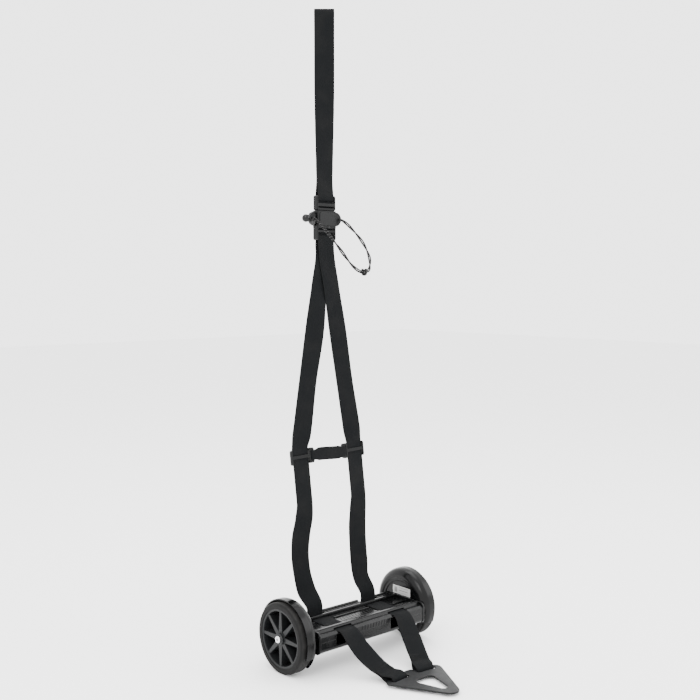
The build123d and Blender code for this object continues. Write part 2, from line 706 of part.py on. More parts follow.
def strand_point(z, layer):
    """A point on the front (-1) or rear (1) strand of the loop at height z."""
    for (low, low_gap), (high, high_gap) in zip(STRAND_GAPS, STRAND_GAPS[1:]):
        if low <= z <= high:
            gap = low_gap + (high_gap - low_gap) * (z - low) / (high - low)
    back = Vector(-sin(twist_at(z)), cos(twist_at(z)), 0)
    return place(GRIP_X, GRIP_Y, z) + back * (layer * gap)


LOOP_SPLIT = 1030.0
lower_levels = [878, 884, 894, 912, 930, 950, 970, 990, 1010, LOOP_SPLIT]
upper_levels = [LOOP_SPLIT, 1050, 1070, 1090, 1110, 1130, 1150, 1164, 1180, 1188, 1196, 1204]
with BuildPart() as hand_loop:
    front_down = [strand_point(z, -1) for z in reversed(lower_levels)]
    rear_up = [strand_point(z, 1) for z in lower_levels]
    under = bend_points(TOP_BAR_Z, False)
    ways = [width_way(z) for z in reversed(lower_levels)] + [X_WAY] * len(under) + [width_way(z) for z in lower_levels]
    ribbon(front_down + under + rear_up, ways)
    rear_top = [strand_point(z, 1) for z in upper_levels]
    front_top = [strand_point(z, -1) for z in reversed(upper_levels)]
    crown_way = width_way(CROWN_Z)
    crown_back = Vector(-crown_way.Y, crown_way.X, 0)
    crown = [
        place(GRIP_X, GRIP_Y, CROWN_Z)
        + crown_back * (CROWN_RADIUS * cos(radians(a)))
        + Vector(0, 0, CROWN_RADIUS * sin(radians(a)))
        for a in range(0, 181, 20)
    ]
    top_ways = [width_way(z) for z in upper_levels]
    ribbon(rear_top + crown + front_top, top_ways + [crown_way] * len(crown) + top_ways[::-1])
save(hand_loop, "hand_loop")

# ---- pull cord: a doubled cord from ear to ear, with a knot at its lowest point and a stop ball ----
EAR_FRONT_Y = GRIP_Y - PRONG_DEPTH / 2 - 1.2
CORD_ROUTE = [
    (-44, EAR_FRONT_Y, 829),
    (-43, 44, 824),
    (-34, 29, 804),
    (-25, 12, 781),
    (-19, -7, 757),
    (-12, -24, 735),
    (4, -33, 724),
    (24, -28, 730),
    (40, -13, 748),
    (48, 5, 769),
    (46, 22, 791),
    (36, 37, 811),
    (27, 45, 823),
    (24, EAR_FRONT_Y, 829),
]
route = [place(*point) for point in CORD_ROUTE]
corner_radii = []
for before, corner, after in zip(route, route[1:], route[2:]):
    arriving = corner - before
    leaving = after - corner
    half_turn = radians(arriving.get_angle(leaving)) / 2
    corner_radii.append(0.45 * min(arriving.length, leaving.length) / tan(half_turn))
print("cord radii", [round(radius, 1) for radius in corner_radii])
with BuildPart() as pull_cord:
    with BuildLine() as cord_line:
        FilletPolyline(*route, radius=corner_radii)
    with BuildSketch(Plane(origin=route[0], z_dir=route[1] - route[0])):
        Circle(CORD_DIAMETER / 2)
    sweep()
cord_length = sum(edge.length for edge in cord_line.edges())
section = pi * CORD_DIAMETER**2 / 4
print(f"cord length {cord_length:.1f}, volume over section times length {pull_cord.part.volume / section / cord_length:.4f}")
save(pull_cord, "pull_cord")

# the knot is tied round the lowest point, so it is hollow where the cord runs through it
with BuildPart() as cord_knot:
    with BuildSketch(Plane(origin=route[6], x_dir=(0, 0, 1), z_dir=(route[7] - route[5]).normalized())):
        with Locations((2.5, 0)):
            Ellipse(8, 7)
    extrude(amount=5, both=True)
    fillet(cord_knot.edges(), 4)
save(cord_knot, "cord_knot")

with BuildPart() as stop_ball:
    with Locations(place(GRIP_X - EAR_REACH - 7.3, GRIP_Y, EAR_Z)):
        Sphere(BALL_RADIUS)
    with Locations(Location(place(GRIP_X - EAR_REACH + 20, GRIP_Y, EAR_Z))):
        Box(40, 20, 40, mode=Mode.SUBTRACT)
save(stop_ball, "cord_stop_ball")
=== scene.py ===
"""Blender scene of a two-wheeled drag cart: wheeled deck, webbing harness, quick-release buckle and toe plate.

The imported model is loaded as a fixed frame. Webbing and cord are rebuilt here as soft goods. The
moulded and metal pieces keep their solids and get procedural finishes.
"""

import logging
import math
from collections.abc import Iterator
from dataclasses import dataclass, field
from enum import Enum
from functools import reduce

import bmesh
import bpy
from mathutils import Matrix, Vector


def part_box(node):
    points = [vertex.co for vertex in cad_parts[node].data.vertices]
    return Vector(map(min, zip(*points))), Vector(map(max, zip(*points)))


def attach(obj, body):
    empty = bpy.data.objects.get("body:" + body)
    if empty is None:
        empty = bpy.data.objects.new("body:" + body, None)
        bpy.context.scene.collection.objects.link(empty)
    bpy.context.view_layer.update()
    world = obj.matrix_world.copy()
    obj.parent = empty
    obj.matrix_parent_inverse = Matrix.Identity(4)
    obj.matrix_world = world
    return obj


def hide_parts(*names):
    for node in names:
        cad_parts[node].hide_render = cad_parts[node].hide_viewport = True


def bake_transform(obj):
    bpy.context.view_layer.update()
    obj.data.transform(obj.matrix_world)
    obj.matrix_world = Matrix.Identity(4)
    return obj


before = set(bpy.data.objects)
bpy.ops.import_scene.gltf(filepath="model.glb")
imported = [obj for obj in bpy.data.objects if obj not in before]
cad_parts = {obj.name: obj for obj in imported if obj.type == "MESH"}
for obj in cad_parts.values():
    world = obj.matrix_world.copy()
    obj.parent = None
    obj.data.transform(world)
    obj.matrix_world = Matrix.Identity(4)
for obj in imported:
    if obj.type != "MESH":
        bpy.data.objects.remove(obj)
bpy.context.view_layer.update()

log = logging.getLogger("drag_cart")
AXIS_X, AXIS_Y, GRIP_Z = -10.0, 62.0, 1220.0
GRIP = Vector((AXIS_X, AXIS_Y, GRIP_Z))
MM = 0.001
X_WAY = Vector((1.0, 0.0, 0.0))
UP = Vector((0.0, 0.0, 1.0))
SPECULAR = "Specular IOR Level"


class Side(Enum):
    """Which side of the cart a piece is on."""

    LEFT = -1
    RIGHT = 1

    @property
    def word(self) -> str:
        """The side's name, as the nodes spell it."""
        return self.name.lower()


class Grain(Enum):
    """The surface texture that a moulding or coating has."""

    SPARK = "spark"
    SMOOTH = "smooth"
    POWDER = "powder"


def at(x: float, y: float, z: float) -> Vector:
    """A point given in millimetres from the ground under the axle, in the object's frame.

    Args:
        x: Distance to the right of the middle.
        y: Distance to the rear of the axle.
        z: Height above the ground.

    Returns:
        The point in metres.
    """
    return (Vector((x, y, z)) - GRIP) * MM


# ---- node helpers ----
class NodeSheet:
    """A material under construction, with short ways to add and join its nodes."""

    def __init__(self, name: str) -> None:
        """Makes an empty node material with its shader and output.

        Args:
            name: The material's name.
        """
        self.material = bpy.data.materials.new(name)
        self.material.use_nodes = True
        self.tree = self.material.node_tree
        self.tree.nodes.clear()
        self.shader = self.tree.nodes.new("ShaderNodeBsdfPrincipled")
        output = self.tree.nodes.new("ShaderNodeOutputMaterial")
        self.join(self.shader.outputs["BSDF"], output.inputs["Surface"])

    def join(self, source: bpy.types.NodeSocket, target: bpy.types.NodeSocket) -> None:
        """Links one socket to another."""
        self.tree.links.new(source, target)

    def feed(self, target: bpy.types.NodeSocket, value: object) -> None:
        """Links a socket, or sets its own value where a plain number or colour is given."""
        if isinstance(value, bpy.types.NodeSocket):
            self.join(value, target)
        else:
            target.default_value = value

    def math(self, operation: str, *values: object) -> bpy.types.NodeSocket:
        """Adds a Math node.

        Args:
            operation: The node's operation.
            values: Its inputs, sockets or numbers.

        Returns:
            Its result socket.
        """
        node = self.tree.nodes.new("ShaderNodeMath")
        node.operation = operation
        for socket, value in zip(node.inputs, values):
            self.feed(socket, value)
        return node.outputs[0]

    def times(self, *values: object) -> bpy.types.NodeSocket:
        """Multiplies sockets and numbers together."""
        return reduce(lambda first, second: self.math("MULTIPLY", first, second), values)

    def coordinates(self) -> bpy.types.NodeSocket:
        """The object's own coordinates, in metres."""
        return self.tree.nodes.new("ShaderNodeTexCoord").outputs["Object"]

    def stretched(self, scale: tuple, turn: tuple = (0.0, 0.0, 0.0)) -> bpy.types.NodeSocket:
        """The object's own coordinates, stretched by a scale and turned.

        Args:
            scale: The scale on each axis.
            turn: The turn about each axis, in radians.

        Returns:
            The vector socket.
        """
        node = self.tree.nodes.new("ShaderNodeMapping")
        node.inputs["Scale"].default_value = scale
        node.inputs["Rotation"].default_value = turn
        self.join(self.coordinates(), node.inputs["Vector"])
        return node.outputs[0]

    def parted(self, vector: bpy.types.NodeSocket) -> list[bpy.types.NodeSocket]:
        """The three components of a vector socket."""
        node = self.tree.nodes.new("ShaderNodeSeparateXYZ")
        self.join(vector, node.inputs[0])
        return list(node.outputs)

    def layout(self, name: str) -> list[bpy.types.NodeSocket]:
        """The components of a named UV layout, across and along, in metres."""
        node = self.tree.nodes.new("ShaderNodeUVMap")
        node.uv_map = name
        return self.parted(node.outputs[0])

    def noise(self, scale: float, detail: float = 4.0, vector: object = None) -> bpy.types.NodeSocket:
        """Adds a noise texture.

        Args:
            scale: Its scale, per metre.
            detail: Its octaves.
            vector: The coordinates it reads, or the object's own.

        Returns:
            Its value socket.
        """
        node = self.tree.nodes.new("ShaderNodeTexNoise")
        node.inputs["Scale"].default_value = scale
        node.inputs["Detail"].default_value = detail
        self.join(vector if vector is not None else self.coordinates(), node.inputs["Vector"])
        return node.outputs["Fac"]

    def spread(
        self, value: object, low: float, high: float, to_low: float = 0.0, to_high: float = 1.0
    ) -> bpy.types.NodeSocket:
        """Maps a value from one range to another, clamped and eased.

        Args:
            value: The socket that is mapped.
            low: Where it starts.
            high: Where it ends.
            to_low: What the start becomes.
            to_high: What the end becomes.

        Returns:
            The result's socket.
        """
        node = self.tree.nodes.new("ShaderNodeMapRange")
        node.interpolation_type = "SMOOTHSTEP"
        self.feed(node.inputs["Value"], value)
        for socket, number in zip(("From Min", "From Max", "To Min", "To Max"), (low, high, to_low, to_high)):
            node.inputs[socket].default_value = number
        return node.outputs["Result"]

    def mix(self, share: object, first: object, second: object) -> bpy.types.NodeSocket:
        """Mixes two colours by a share.

        Args:
            share: How much of the second there is.
            first: The first colour.
            second: The second colour.

        Returns:
            The colour's socket.
        """
        node = self.tree.nodes.new("ShaderNodeMix")
        node.data_type = "RGBA"
        self.feed(node.inputs[0], share)
        self.feed(node.inputs[6], first)
        self.feed(node.inputs[7], second)
        return node.outputs[2]

    def bump(
        self, height: bpy.types.NodeSocket, strength: float, distance: float, under: object = None
    ) -> bpy.types.NodeSocket:
        """Adds a bump node over another normal.

        Args:
            height: The height socket.
            strength: The bump's strength.
            distance: The height's scale in metres.
            under: The normal that it starts from.

        Returns:
            Its normal socket.
        """
        node = self.tree.nodes.new("ShaderNodeBump")
        node.inputs["Strength"].default_value = strength
        node.inputs["Distance"].default_value = distance
        self.join(height, node.inputs["Height"])
        if under is not None:
            self.join(under, node.inputs["Normal"])
        return node.outputs[0]

    def rounded(self, radius: float) -> bpy.types.NodeSocket:
        """The surface's normal with its sharp edges rounded over."""
        node = self.tree.nodes.new("ShaderNodeBevel")
        node.samples = 6
        node.inputs["Radius"].default_value = radius
        return node.outputs[0]

    def edges(self, radius: float) -> bpy.types.NodeSocket:
        """How near a point is to a sharp edge, from 0 on a flat to 1 on the edge."""
        soft = self.rounded(radius)
        dot = self.tree.nodes.new("ShaderNodeVectorMath")
        dot.operation = "DOT_PRODUCT"
        self.join(soft, dot.inputs[0])
        self.join(self.tree.nodes.new("ShaderNodeNewGeometry").outputs["Normal"], dot.inputs[1])
        return self.spread(dot.outputs["Value"], 0.99, 0.8)

    def finished(
        self, colour: object, roughness: object, normal: object = None, plain: dict[str, float] | None = None
    ) -> bpy.types.Material:
        """Gives the shader its inputs.

        Args:
            colour: The base colour's socket.
            roughness: The roughness, a socket or a number.
            normal: The normal's socket, where there is one.
            plain: The shader's uniform inputs, by name.

        Returns:
            The finished material.
        """
        inputs = {"Base Color": colour, "Roughness": roughness, "Normal": normal, **(plain or {})}
        for name, value in inputs.items():
            if value is not None:
                self.feed(self.shader.inputs[name], value)
        return self.material


def grey(level: float, warm: float = 0.0) -> tuple[float, float, float, float]:
    """A grey, a little warm, or cool where warm is negative."""
    return (level * (1 + warm), level, level * (1 - warm), 1.0)


# ---- finishes ----
@dataclass(frozen=True)
class WebbingFinish:
    """Ribbed woven webbing: lengthwise cords, crossed by picks, with fuzzy selvedges, a painted highlight on the yarn
    crowns and painted shade in the grooves.
    """

    name: str = "webbing"
    body: float = 0.0022
    # crown: the colour painted on the weave's crowns as a painted highlight.
    crown: float = 0.0065
    rib: float = 1.35 * MM
    pick: float = 1.1 * MM
    half_width: float = 19.0 * MM

    def make(self) -> bpy.types.Material:
        """Builds the material.

        Returns:
            The finished material.
        """
        sheet = NodeSheet(self.name)
        across, along, _ = sheet.layout("weave")
        column = sheet.math("FLOOR", sheet.math("DIVIDE", across, self.rib))
        rib = sheet.math("ABSOLUTE", sheet.math("SINE", sheet.times(across, math.pi / self.rib)))
        turn = sheet.math("ADD", sheet.times(along, 2 * math.pi / self.pick), sheet.times(column, math.pi))
        pick = sheet.math("MULTIPLY_ADD", sheet.math("SINE", turn), 0.5, 0.5)
        height = sheet.math("MULTIPLY_ADD", rib, 0.65, sheet.times(pick, 0.35))
        edge = sheet.spread(sheet.math("ABSOLUTE", across), self.half_width * 0.9, self.half_width)
        fuzz = sheet.noise(2600.0, 3.0)
        cloud = sheet.noise(26.0, 5.0)
        # The weave's height paints the crowns lighter (painted highlight) and the grooves darker (painted shade); the
        # dust below is real dust laid over that.
        weave_highlight_and_shade = sheet.mix(height, grey(self.body, -0.10), grey(self.crown, -0.09))
        dust_and_weave_shade = sheet.mix(sheet.spread(cloud, 0.42, 0.72, 0.0, 0.35), weave_highlight_and_shade, grey(0.009, 0.03))
        frayed = sheet.times(edge, sheet.spread(fuzz, 0.4, 0.7, 0.1, 0.5))
        return sheet.finished(
            sheet.mix(frayed, dust_and_weave_shade, grey(0.014, 0.02)),
            sheet.spread(fuzz, 0.2, 0.8, 0.72, 0.92),
            sheet.bump(fuzz, 0.35, 0.12 * MM, sheet.bump(height, 0.75, 0.35 * MM)),
            {"Sheen Weight": 0.004, "Sheen Roughness": 0.45, SPECULAR: 0.05},
        )


@dataclass(frozen=True)
class MouldedFinish:
    """Moulded plastic, or a coating, with its grain, scuffs and paler edges."""

    name: str
    body: float
    worn: float
    roughness: float
    grain: Grain = Grain.SPARK
    edge: float = 0.7 * MM
    specular: float = 0.5
    warm: float = -0.06
    dust: float = 0.25

    def make(self) -> bpy.types.Material:
        """Builds the material.

        Returns:
            The finished material.
        """
        sheet = NodeSheet(self.name)
        scale, strength, depth = {
            Grain.SPARK: (1500.0, 0.35, 0.10 * MM),
            Grain.SMOOTH: (420.0, 0.10, 0.06 * MM),
            Grain.POWDER: (700.0, 0.40, 0.16 * MM),
        }[self.grain]
        fine = sheet.noise(scale, 3.0)
        cloud = sheet.noise(34.0, 6.0)
        scuff_way = sheet.stretched((1.0, 9.0, 4.0), (0.4, 0.2, 0.9))
        scuffs = sheet.spread(sheet.noise(90.0, 8.0, scuff_way), 0.62, 0.74)
        body, pale, worn = (grey(level, self.warm) for level in (self.body, self.body * 1.35, self.worn))
        tone = sheet.mix(sheet.spread(cloud, 0.35, 0.75), body, pale)
        dusted = sheet.mix(sheet.times(scuffs, self.dust), tone, worn)
        rubbed = sheet.times(sheet.edges(self.edge * 1.6), sheet.spread(cloud, 0.3, 0.7, 0.25, 0.8))
        rough = sheet.spread(cloud, 0.25, 0.8, self.roughness - 0.06, self.roughness + 0.09)
        return sheet.finished(
            sheet.mix(rubbed, dusted, worn),
            sheet.math("MULTIPLY_ADD", scuffs, 0.08, rough),
            sheet.bump(fine, strength, depth, sheet.rounded(self.edge)),
            {SPECULAR: self.specular},
        )


@dataclass(frozen=True)
class MetalFinish:
    """Bare or plated metal with fine drawing marks and tarnish."""

    name: str
    tone: float
    roughness: float
    marks: float = 0.3

    def make(self) -> bpy.types.Material:
        """Builds the material.

        Returns:
            The finished material.
        """
        sheet = NodeSheet(self.name)
        marks = sheet.noise(2400.0, 2.0, sheet.stretched((0.15, 1.0, 1.0)))
        stain = sheet.noise(160.0, 5.0)
        return sheet.finished(
            sheet.mix(sheet.spread(stain, 0.4, 0.75), grey(self.tone, -0.01), grey(self.tone * 0.62, 0.03)),
            sheet.spread(stain, 0.3, 0.8, self.roughness - 0.05, self.roughness + 0.2),
            sheet.bump(marks, self.marks, 0.04 * MM, sheet.rounded(0.4 * MM)),
            {"Metallic": 1.0},
        )


@dataclass(frozen=True)
class CordFinish:
    """Braided cord with bright reflective flecks woven in, a painted highlight on the strand crowns and painted shade
    in the braid's hollows.
    """

    name: str = "cord"
    strand: float = 1.6 * MM
    fleck: float = 0.085

    def make(self) -> bpy.types.Material:
        """Builds the material.

        Returns:
            The finished material.
        """
        sheet = NodeSheet(self.name)
        around, along, _ = sheet.layout("weave")
        climb = sheet.times(along, 1 / self.strand)
        turns = sheet.times(around, 6.0)
        rising, falling = (sheet.math(way, turns, climb) for way in ("ADD", "SUBTRACT"))
        first, second = (sheet.math("SINE", sheet.times(lay, math.pi)) for lay in (rising, falling))
        braid = sheet.math("ABSOLUTE", sheet.times(first, second))
        every = sheet.math("FRACT", sheet.times(rising, 0.25))
        tracer = sheet.times(sheet.math("GREATER_THAN", every, 0.74), sheet.spread(braid, 0.35, 0.6))
        # The braid's height paints the strand crowns lighter (painted highlight) and the hollows between strands
        # darker (painted shade).
        return sheet.finished(
            sheet.mix(tracer, sheet.mix(braid, grey(0.002), grey(0.009)), grey(self.fleck)),
            sheet.spread(tracer, 0.0, 1.0, 0.8, 0.55),
            sheet.bump(sheet.noise(5200.0, 2.0), 0.3, 0.05 * MM, sheet.bump(braid, 0.8, 0.3 * MM)),
            {SPECULAR: 0.15},
        )


@dataclass(frozen=True)
class LabelFinish:
    """A pale stuck-on label with plain bars and a block, and no words."""

    name: str = "label"
    rows: float = 3.0
    low: Vector = field(default_factory=Vector)
    high: Vector = field(default_factory=Vector)

    def make(self) -> bpy.types.Material:
        """Builds the material.

        Returns:
            The finished material.
        """
        sheet = NodeSheet(self.name)
        _, y, z = sheet.parted(sheet.coordinates())
        share_y = sheet.math("DIVIDE", sheet.math("SUBTRACT", y, self.low.y), self.high.y - self.low.y)
        share_z = sheet.math("DIVIDE", sheet.math("SUBTRACT", z, self.low.z), self.high.z - self.low.z)
        rows = sheet.math("FRACT", sheet.times(share_z, self.rows))
        line = sheet.times(sheet.spread(rows, 0.30, 0.36), sheet.spread(rows, 0.62, 0.56))
        inside = sheet.times(sheet.spread(share_y, 0.12, 0.14), sheet.spread(share_y, 0.66, 0.64))
        tall = sheet.times(sheet.spread(share_z, 0.14, 0.18), sheet.spread(share_z, 0.86, 0.82))
        block = sheet.times(sheet.spread(share_y, 0.74, 0.75), sheet.spread(share_y, 0.92, 0.91))
        ink = sheet.math("MAXIMUM", sheet.times(line, inside, tall, 0.85), sheet.times(block, tall, 0.7))
        paper = sheet.noise(900.0, 4.0)
        tone = sheet.mix(sheet.spread(paper, 0.3, 0.8), grey(0.34), grey(0.30, 0.02))
        return sheet.finished(
            sheet.mix(ink, tone, grey(0.035)),
            sheet.spread(paper, 0.3, 0.8, 0.38, 0.5),
            sheet.bump(paper, 0.15, 0.05 * MM, sheet.rounded(0.2 * MM)),
        )


@dataclass(frozen=True)
class TyreFinish:
    """Firm black rubber with a dusty running face and faint moulding rings."""

    name: str = "tyre"
    axle: Vector = field(default_factory=Vector)
    radius: float = 65.0 * MM
    ring_pitch: float = 1.1 * MM

    def make(self) -> bpy.types.Material:
        """Builds the material.

        Returns:
            The finished material.
        """
        sheet = NodeSheet(self.name)
        _, y, z = sheet.parted(sheet.coordinates())
        rise, reach = sheet.math("SUBTRACT", z, self.axle.z), sheet.math("SUBTRACT", y, self.axle.y)
        square = sheet.math("ADD", sheet.times(rise, rise), sheet.times(reach, reach))
        distance = sheet.math("SQRT", square)
        face = sheet.spread(distance, self.radius - 1.6 * MM, self.radius - 0.2 * MM)
        rings = sheet.math("SINE", sheet.times(distance, 2 * math.pi / self.ring_pitch))
        pores = sheet.noise(1900.0, 4.0)
        cloud = sheet.noise(60.0, 6.0)
        tone = sheet.mix(sheet.spread(cloud, 0.3, 0.75), grey(0.003), grey(0.005, 0.02))
        dust = sheet.times(face, sheet.spread(cloud, 0.35, 0.7, 0.15, 0.6))
        ringed = sheet.bump(rings, 0.12, 0.08 * MM, sheet.rounded(0.9 * MM))
        return sheet.finished(
            sheet.mix(dust, tone, grey(0.014, 0.04)),
            sheet.spread(pores, 0.2, 0.8, 0.55, 0.75),
            sheet.bump(pores, 0.3, 0.1 * MM, ringed),
            {SPECULAR: 0.11},
        )


@dataclass(frozen=True)
class FloorFinish:
    """The plain pale studio floor."""

    name: str = "studio_floor"
    tone: float = 0.93

    def make(self) -> bpy.types.Material:
        """Builds the material.

        Returns:
            The finished material.
        """
        sheet = NodeSheet(self.name)
        colour = sheet.mix(sheet.noise(3.0, 2.0), grey(self.tone), grey(self.tone * 0.99))
        return sheet.finished(colour, 0.9, plain={SPECULAR: 0.1})


# ---- meshes ----
@dataclass(frozen=True)
class SectionPoint:
    """A point of a swept section: a share of the half width, and metres beyond it and up from it."""

    share: float
    out: float
    up: float


@dataclass
class Station:
    """One place along a sweep: where it is, its width and thickness directions, and its width."""

    origin: Vector
    across: Vector
    lift: Vector
    width: float = 0.0


def webbing_section(thick: float) -> list[SectionPoint]:
    """The section of a strap, flat with rounded selvedges.

    Args:
        thick: The webbing's thickness.

    Returns:
        The section's points, in order round it.
    """
    radius = thick / 2
    points: list[SectionPoint] = []
    for side in (1, -1):
        for degrees in (-90, -45, 0, 45, 90):
            angle = math.radians(degrees)
            out = side * radius * (math.cos(angle) - 1)
            points.append(SectionPoint(side, out, side * radius * math.sin(angle)))
        points += [SectionPoint(side * share, 0.0, side * radius) for share in (0.6, 0.2, -0.2, -0.6)]
    return points


def round_section(radius: float, count: int) -> list[SectionPoint]:
    """The section of a round cord."""
    angles = [2 * math.pi * i / count for i in range(count)]
    return [SectionPoint(0.0, radius * math.cos(a), radius * math.sin(a)) for a in angles]


def arc(first: int, last: int) -> Iterator[tuple[float, float]]:
    """Cosines and sines at every 30 degrees from one angle to another."""
    for degrees in range(first, last + 1, 30):
        yield math.cos(math.radians(degrees)), math.sin(math.radians(degrees))


def add_block(bm: bmesh.types.BMesh, middle: Vector, size: Vector, lean: float = 0.0) -> list[bmesh.types.BMEdge]:
    """Adds a block to a bmesh.

    Args:
        bm: The mesh that it is added to.
        middle: Its middle.
        size: Its three lengths.
        lean: Its turn about the vertical, in radians.

    Returns:
        Its edges.
    """
    place = Matrix.Translation(middle) @ Matrix.Rotation(lean, 4, "Z") @ Matrix.Diagonal((*size, 1.0))
    corners = set(bmesh.ops.create_cube(bm, size=1.0, matrix=place)["verts"])
    return [edge for edge in bm.edges if corners.issuperset(edge.verts)]


def along_axis(edges: list[bmesh.types.BMEdge], axis: int) -> list[bmesh.types.BMEdge]:
    """The edges that run along an axis."""
    return [edge for edge in edges if abs((edge.verts[0].co - edge.verts[1].co).normalized()[axis]) > 0.9]


def soften(bm: bmesh.types.BMesh, edges: list[bmesh.types.BMEdge], radius: float, segments: int) -> None:
    """Rounds edges over.

    Args:
        bm: The mesh that they belong to.
        edges: The edges.
        radius: The size of the rounding.
        segments: The number of faces across it.
    """
    bmesh.ops.bevel(
        bm, geom=edges, offset=radius, segments=segments, affect="EDGES", profile=0.5, material=-1, clamp_overlap=True
    )


def scaled_at(middle: Vector, x: float, y: float, z: float) -> Matrix:
    """The placement of a unit shape at a point, with its half sizes in millimetres."""
    return Matrix.Translation(middle) @ Matrix.Diagonal((x * MM, y * MM, z * MM, 1.0))


def add_object(
    name: str, bm: bmesh.types.BMesh, material: bpy.types.Material, smooth: bool = True
) -> bpy.types.Object:
    """Turns a bmesh into a dressed object at the origin.

    Args:
        name: The piece's name.
        bm: The mesh, which is freed.
        material: The piece's finish.
        smooth: Whether its faces are shaded smooth.

    Returns:
        The object.
    """
    bmesh.ops.recalc_face_normals(bm, faces=bm.faces[:])
    for face in bm.faces:
        face.smooth = smooth
    mesh = bpy.data.meshes.new(name)
    bm.to_mesh(mesh)
    bm.free()
    mesh.materials.append(material)
    piece = bpy.data.objects.new(name, mesh)
    bpy.context.scene.collection.objects.link(piece)
    return piece


def sweep(bm: bmesh.types.BMesh, section: list[SectionPoint], stations: list[Station], closed: bool = False) -> None:
    """Sweeps a section along stations into a bmesh, laid out in metres as the weave layout.

    Args:
        bm: The mesh that it is added to.
        section: The section's points.
        stations: The places along the line.
        closed: Whether the last station meets the first.
    """
    count = len(section)
    index_layer = bm.verts.layers.int.get("index") or bm.verts.layers.int.new("index")
    across_layer = bm.verts.layers.float.get("across") or bm.verts.layers.float.new("across")
    along_layer = bm.verts.layers.float.get("along") or bm.verts.layers.float.new("along")
    weave = bm.loops.layers.uv.get("weave") or bm.loops.layers.uv.new("weave")
    flat = any(point.share for point in section)

    def settle(vert: bmesh.types.BMVert, number: int, station: Station, travelled: float) -> None:
        """Puts a vertex at its place in a station's section."""
        point = section[number]
        reach = point.share * station.width / 2 + point.out
        vert.co = station.origin + station.across * reach + station.lift * point.up
        vert[index_layer] = number
        vert[across_layer] = reach if flat else number / count
        vert[along_layer] = travelled

    ring = [bm.verts.new() for _ in section]
    for number, vert in enumerate(ring):
        settle(vert, number, stations[0], 0.0)
    edges = [bm.edges.new((ring[i], ring[(i + 1) % count])) for i in range(count)]
    first_edges = edges[:]
    travelled = 0.0
    sides: list[bmesh.types.BMFace] = []
    for before, station in zip(stations, stations[1:]):
        travelled += (station.origin - before.origin).length
        made = bmesh.ops.extrude_edge_only(bm, edges=edges)["geom"]
        fresh = {item for item in made if isinstance(item, bmesh.types.BMVert)}
        for vert in fresh:
            settle(vert, vert[index_layer], station, travelled)
        edges = [item for item in made if isinstance(item, bmesh.types.BMEdge) and set(item.verts) <= fresh]
        sides.extend(item for item in made if isinstance(item, bmesh.types.BMFace))
    for face in sides:
        numbers = [loop.vert[index_layer] for loop in face.loops]
        wraps = not flat and max(numbers) - min(numbers) > 1
        for loop in face.loops:
            across = loop.vert[across_layer]
            if wraps and loop.vert[index_layer] == 0:
                across = 1.0
            loop[weave].uv = (across, loop.vert[along_layer])
    if closed:
        ends = {vert for edge in first_edges + edges for vert in edge.verts}
        bmesh.ops.remove_doubles(bm, verts=list(ends), dist=1e-6)
    else:
        bmesh.ops.holes_fill(bm, edges=first_edges, sides=0)
        bmesh.ops.holes_fill(bm, edges=edges, sides=0)


def carried(points: list[Vector], turn: float = 0.0) -> list[Station]:
    """Stations along a round line, whose directions are carried along it without twist.

    Args:
        points: The line's points.
        turn: Radians of twist added for each metre of line.

    Returns:
        The stations.
    """
    last = len(points) - 1
    runs = [(points[min(i + 1, last)] - points[max(i - 1, 0)]).normalized() for i in range(last + 1)]
    across = runs[0].orthogonal().normalized()
    stations: list[Station] = []
    travelled = 0.0
    for i, (point, run) in enumerate(zip(points, runs)):
        if i:
            across = runs[i - 1].rotation_difference(run) @ across
            travelled += (point - points[i - 1]).length
        across = (across - run * across.dot(run)).normalized()
        turned = Matrix.Rotation(turn * travelled, 3, run) @ across
        stations.append(Station(point, turned, run.cross(turned)))
    return stations


@dataclass
class StrapPoint:
    """A point that webbing passes through, its width's direction there and its width."""

    point: Vector
    way: Vector = field(default_factory=lambda: X_WAY.copy())
    width: float = 38.0 * MM


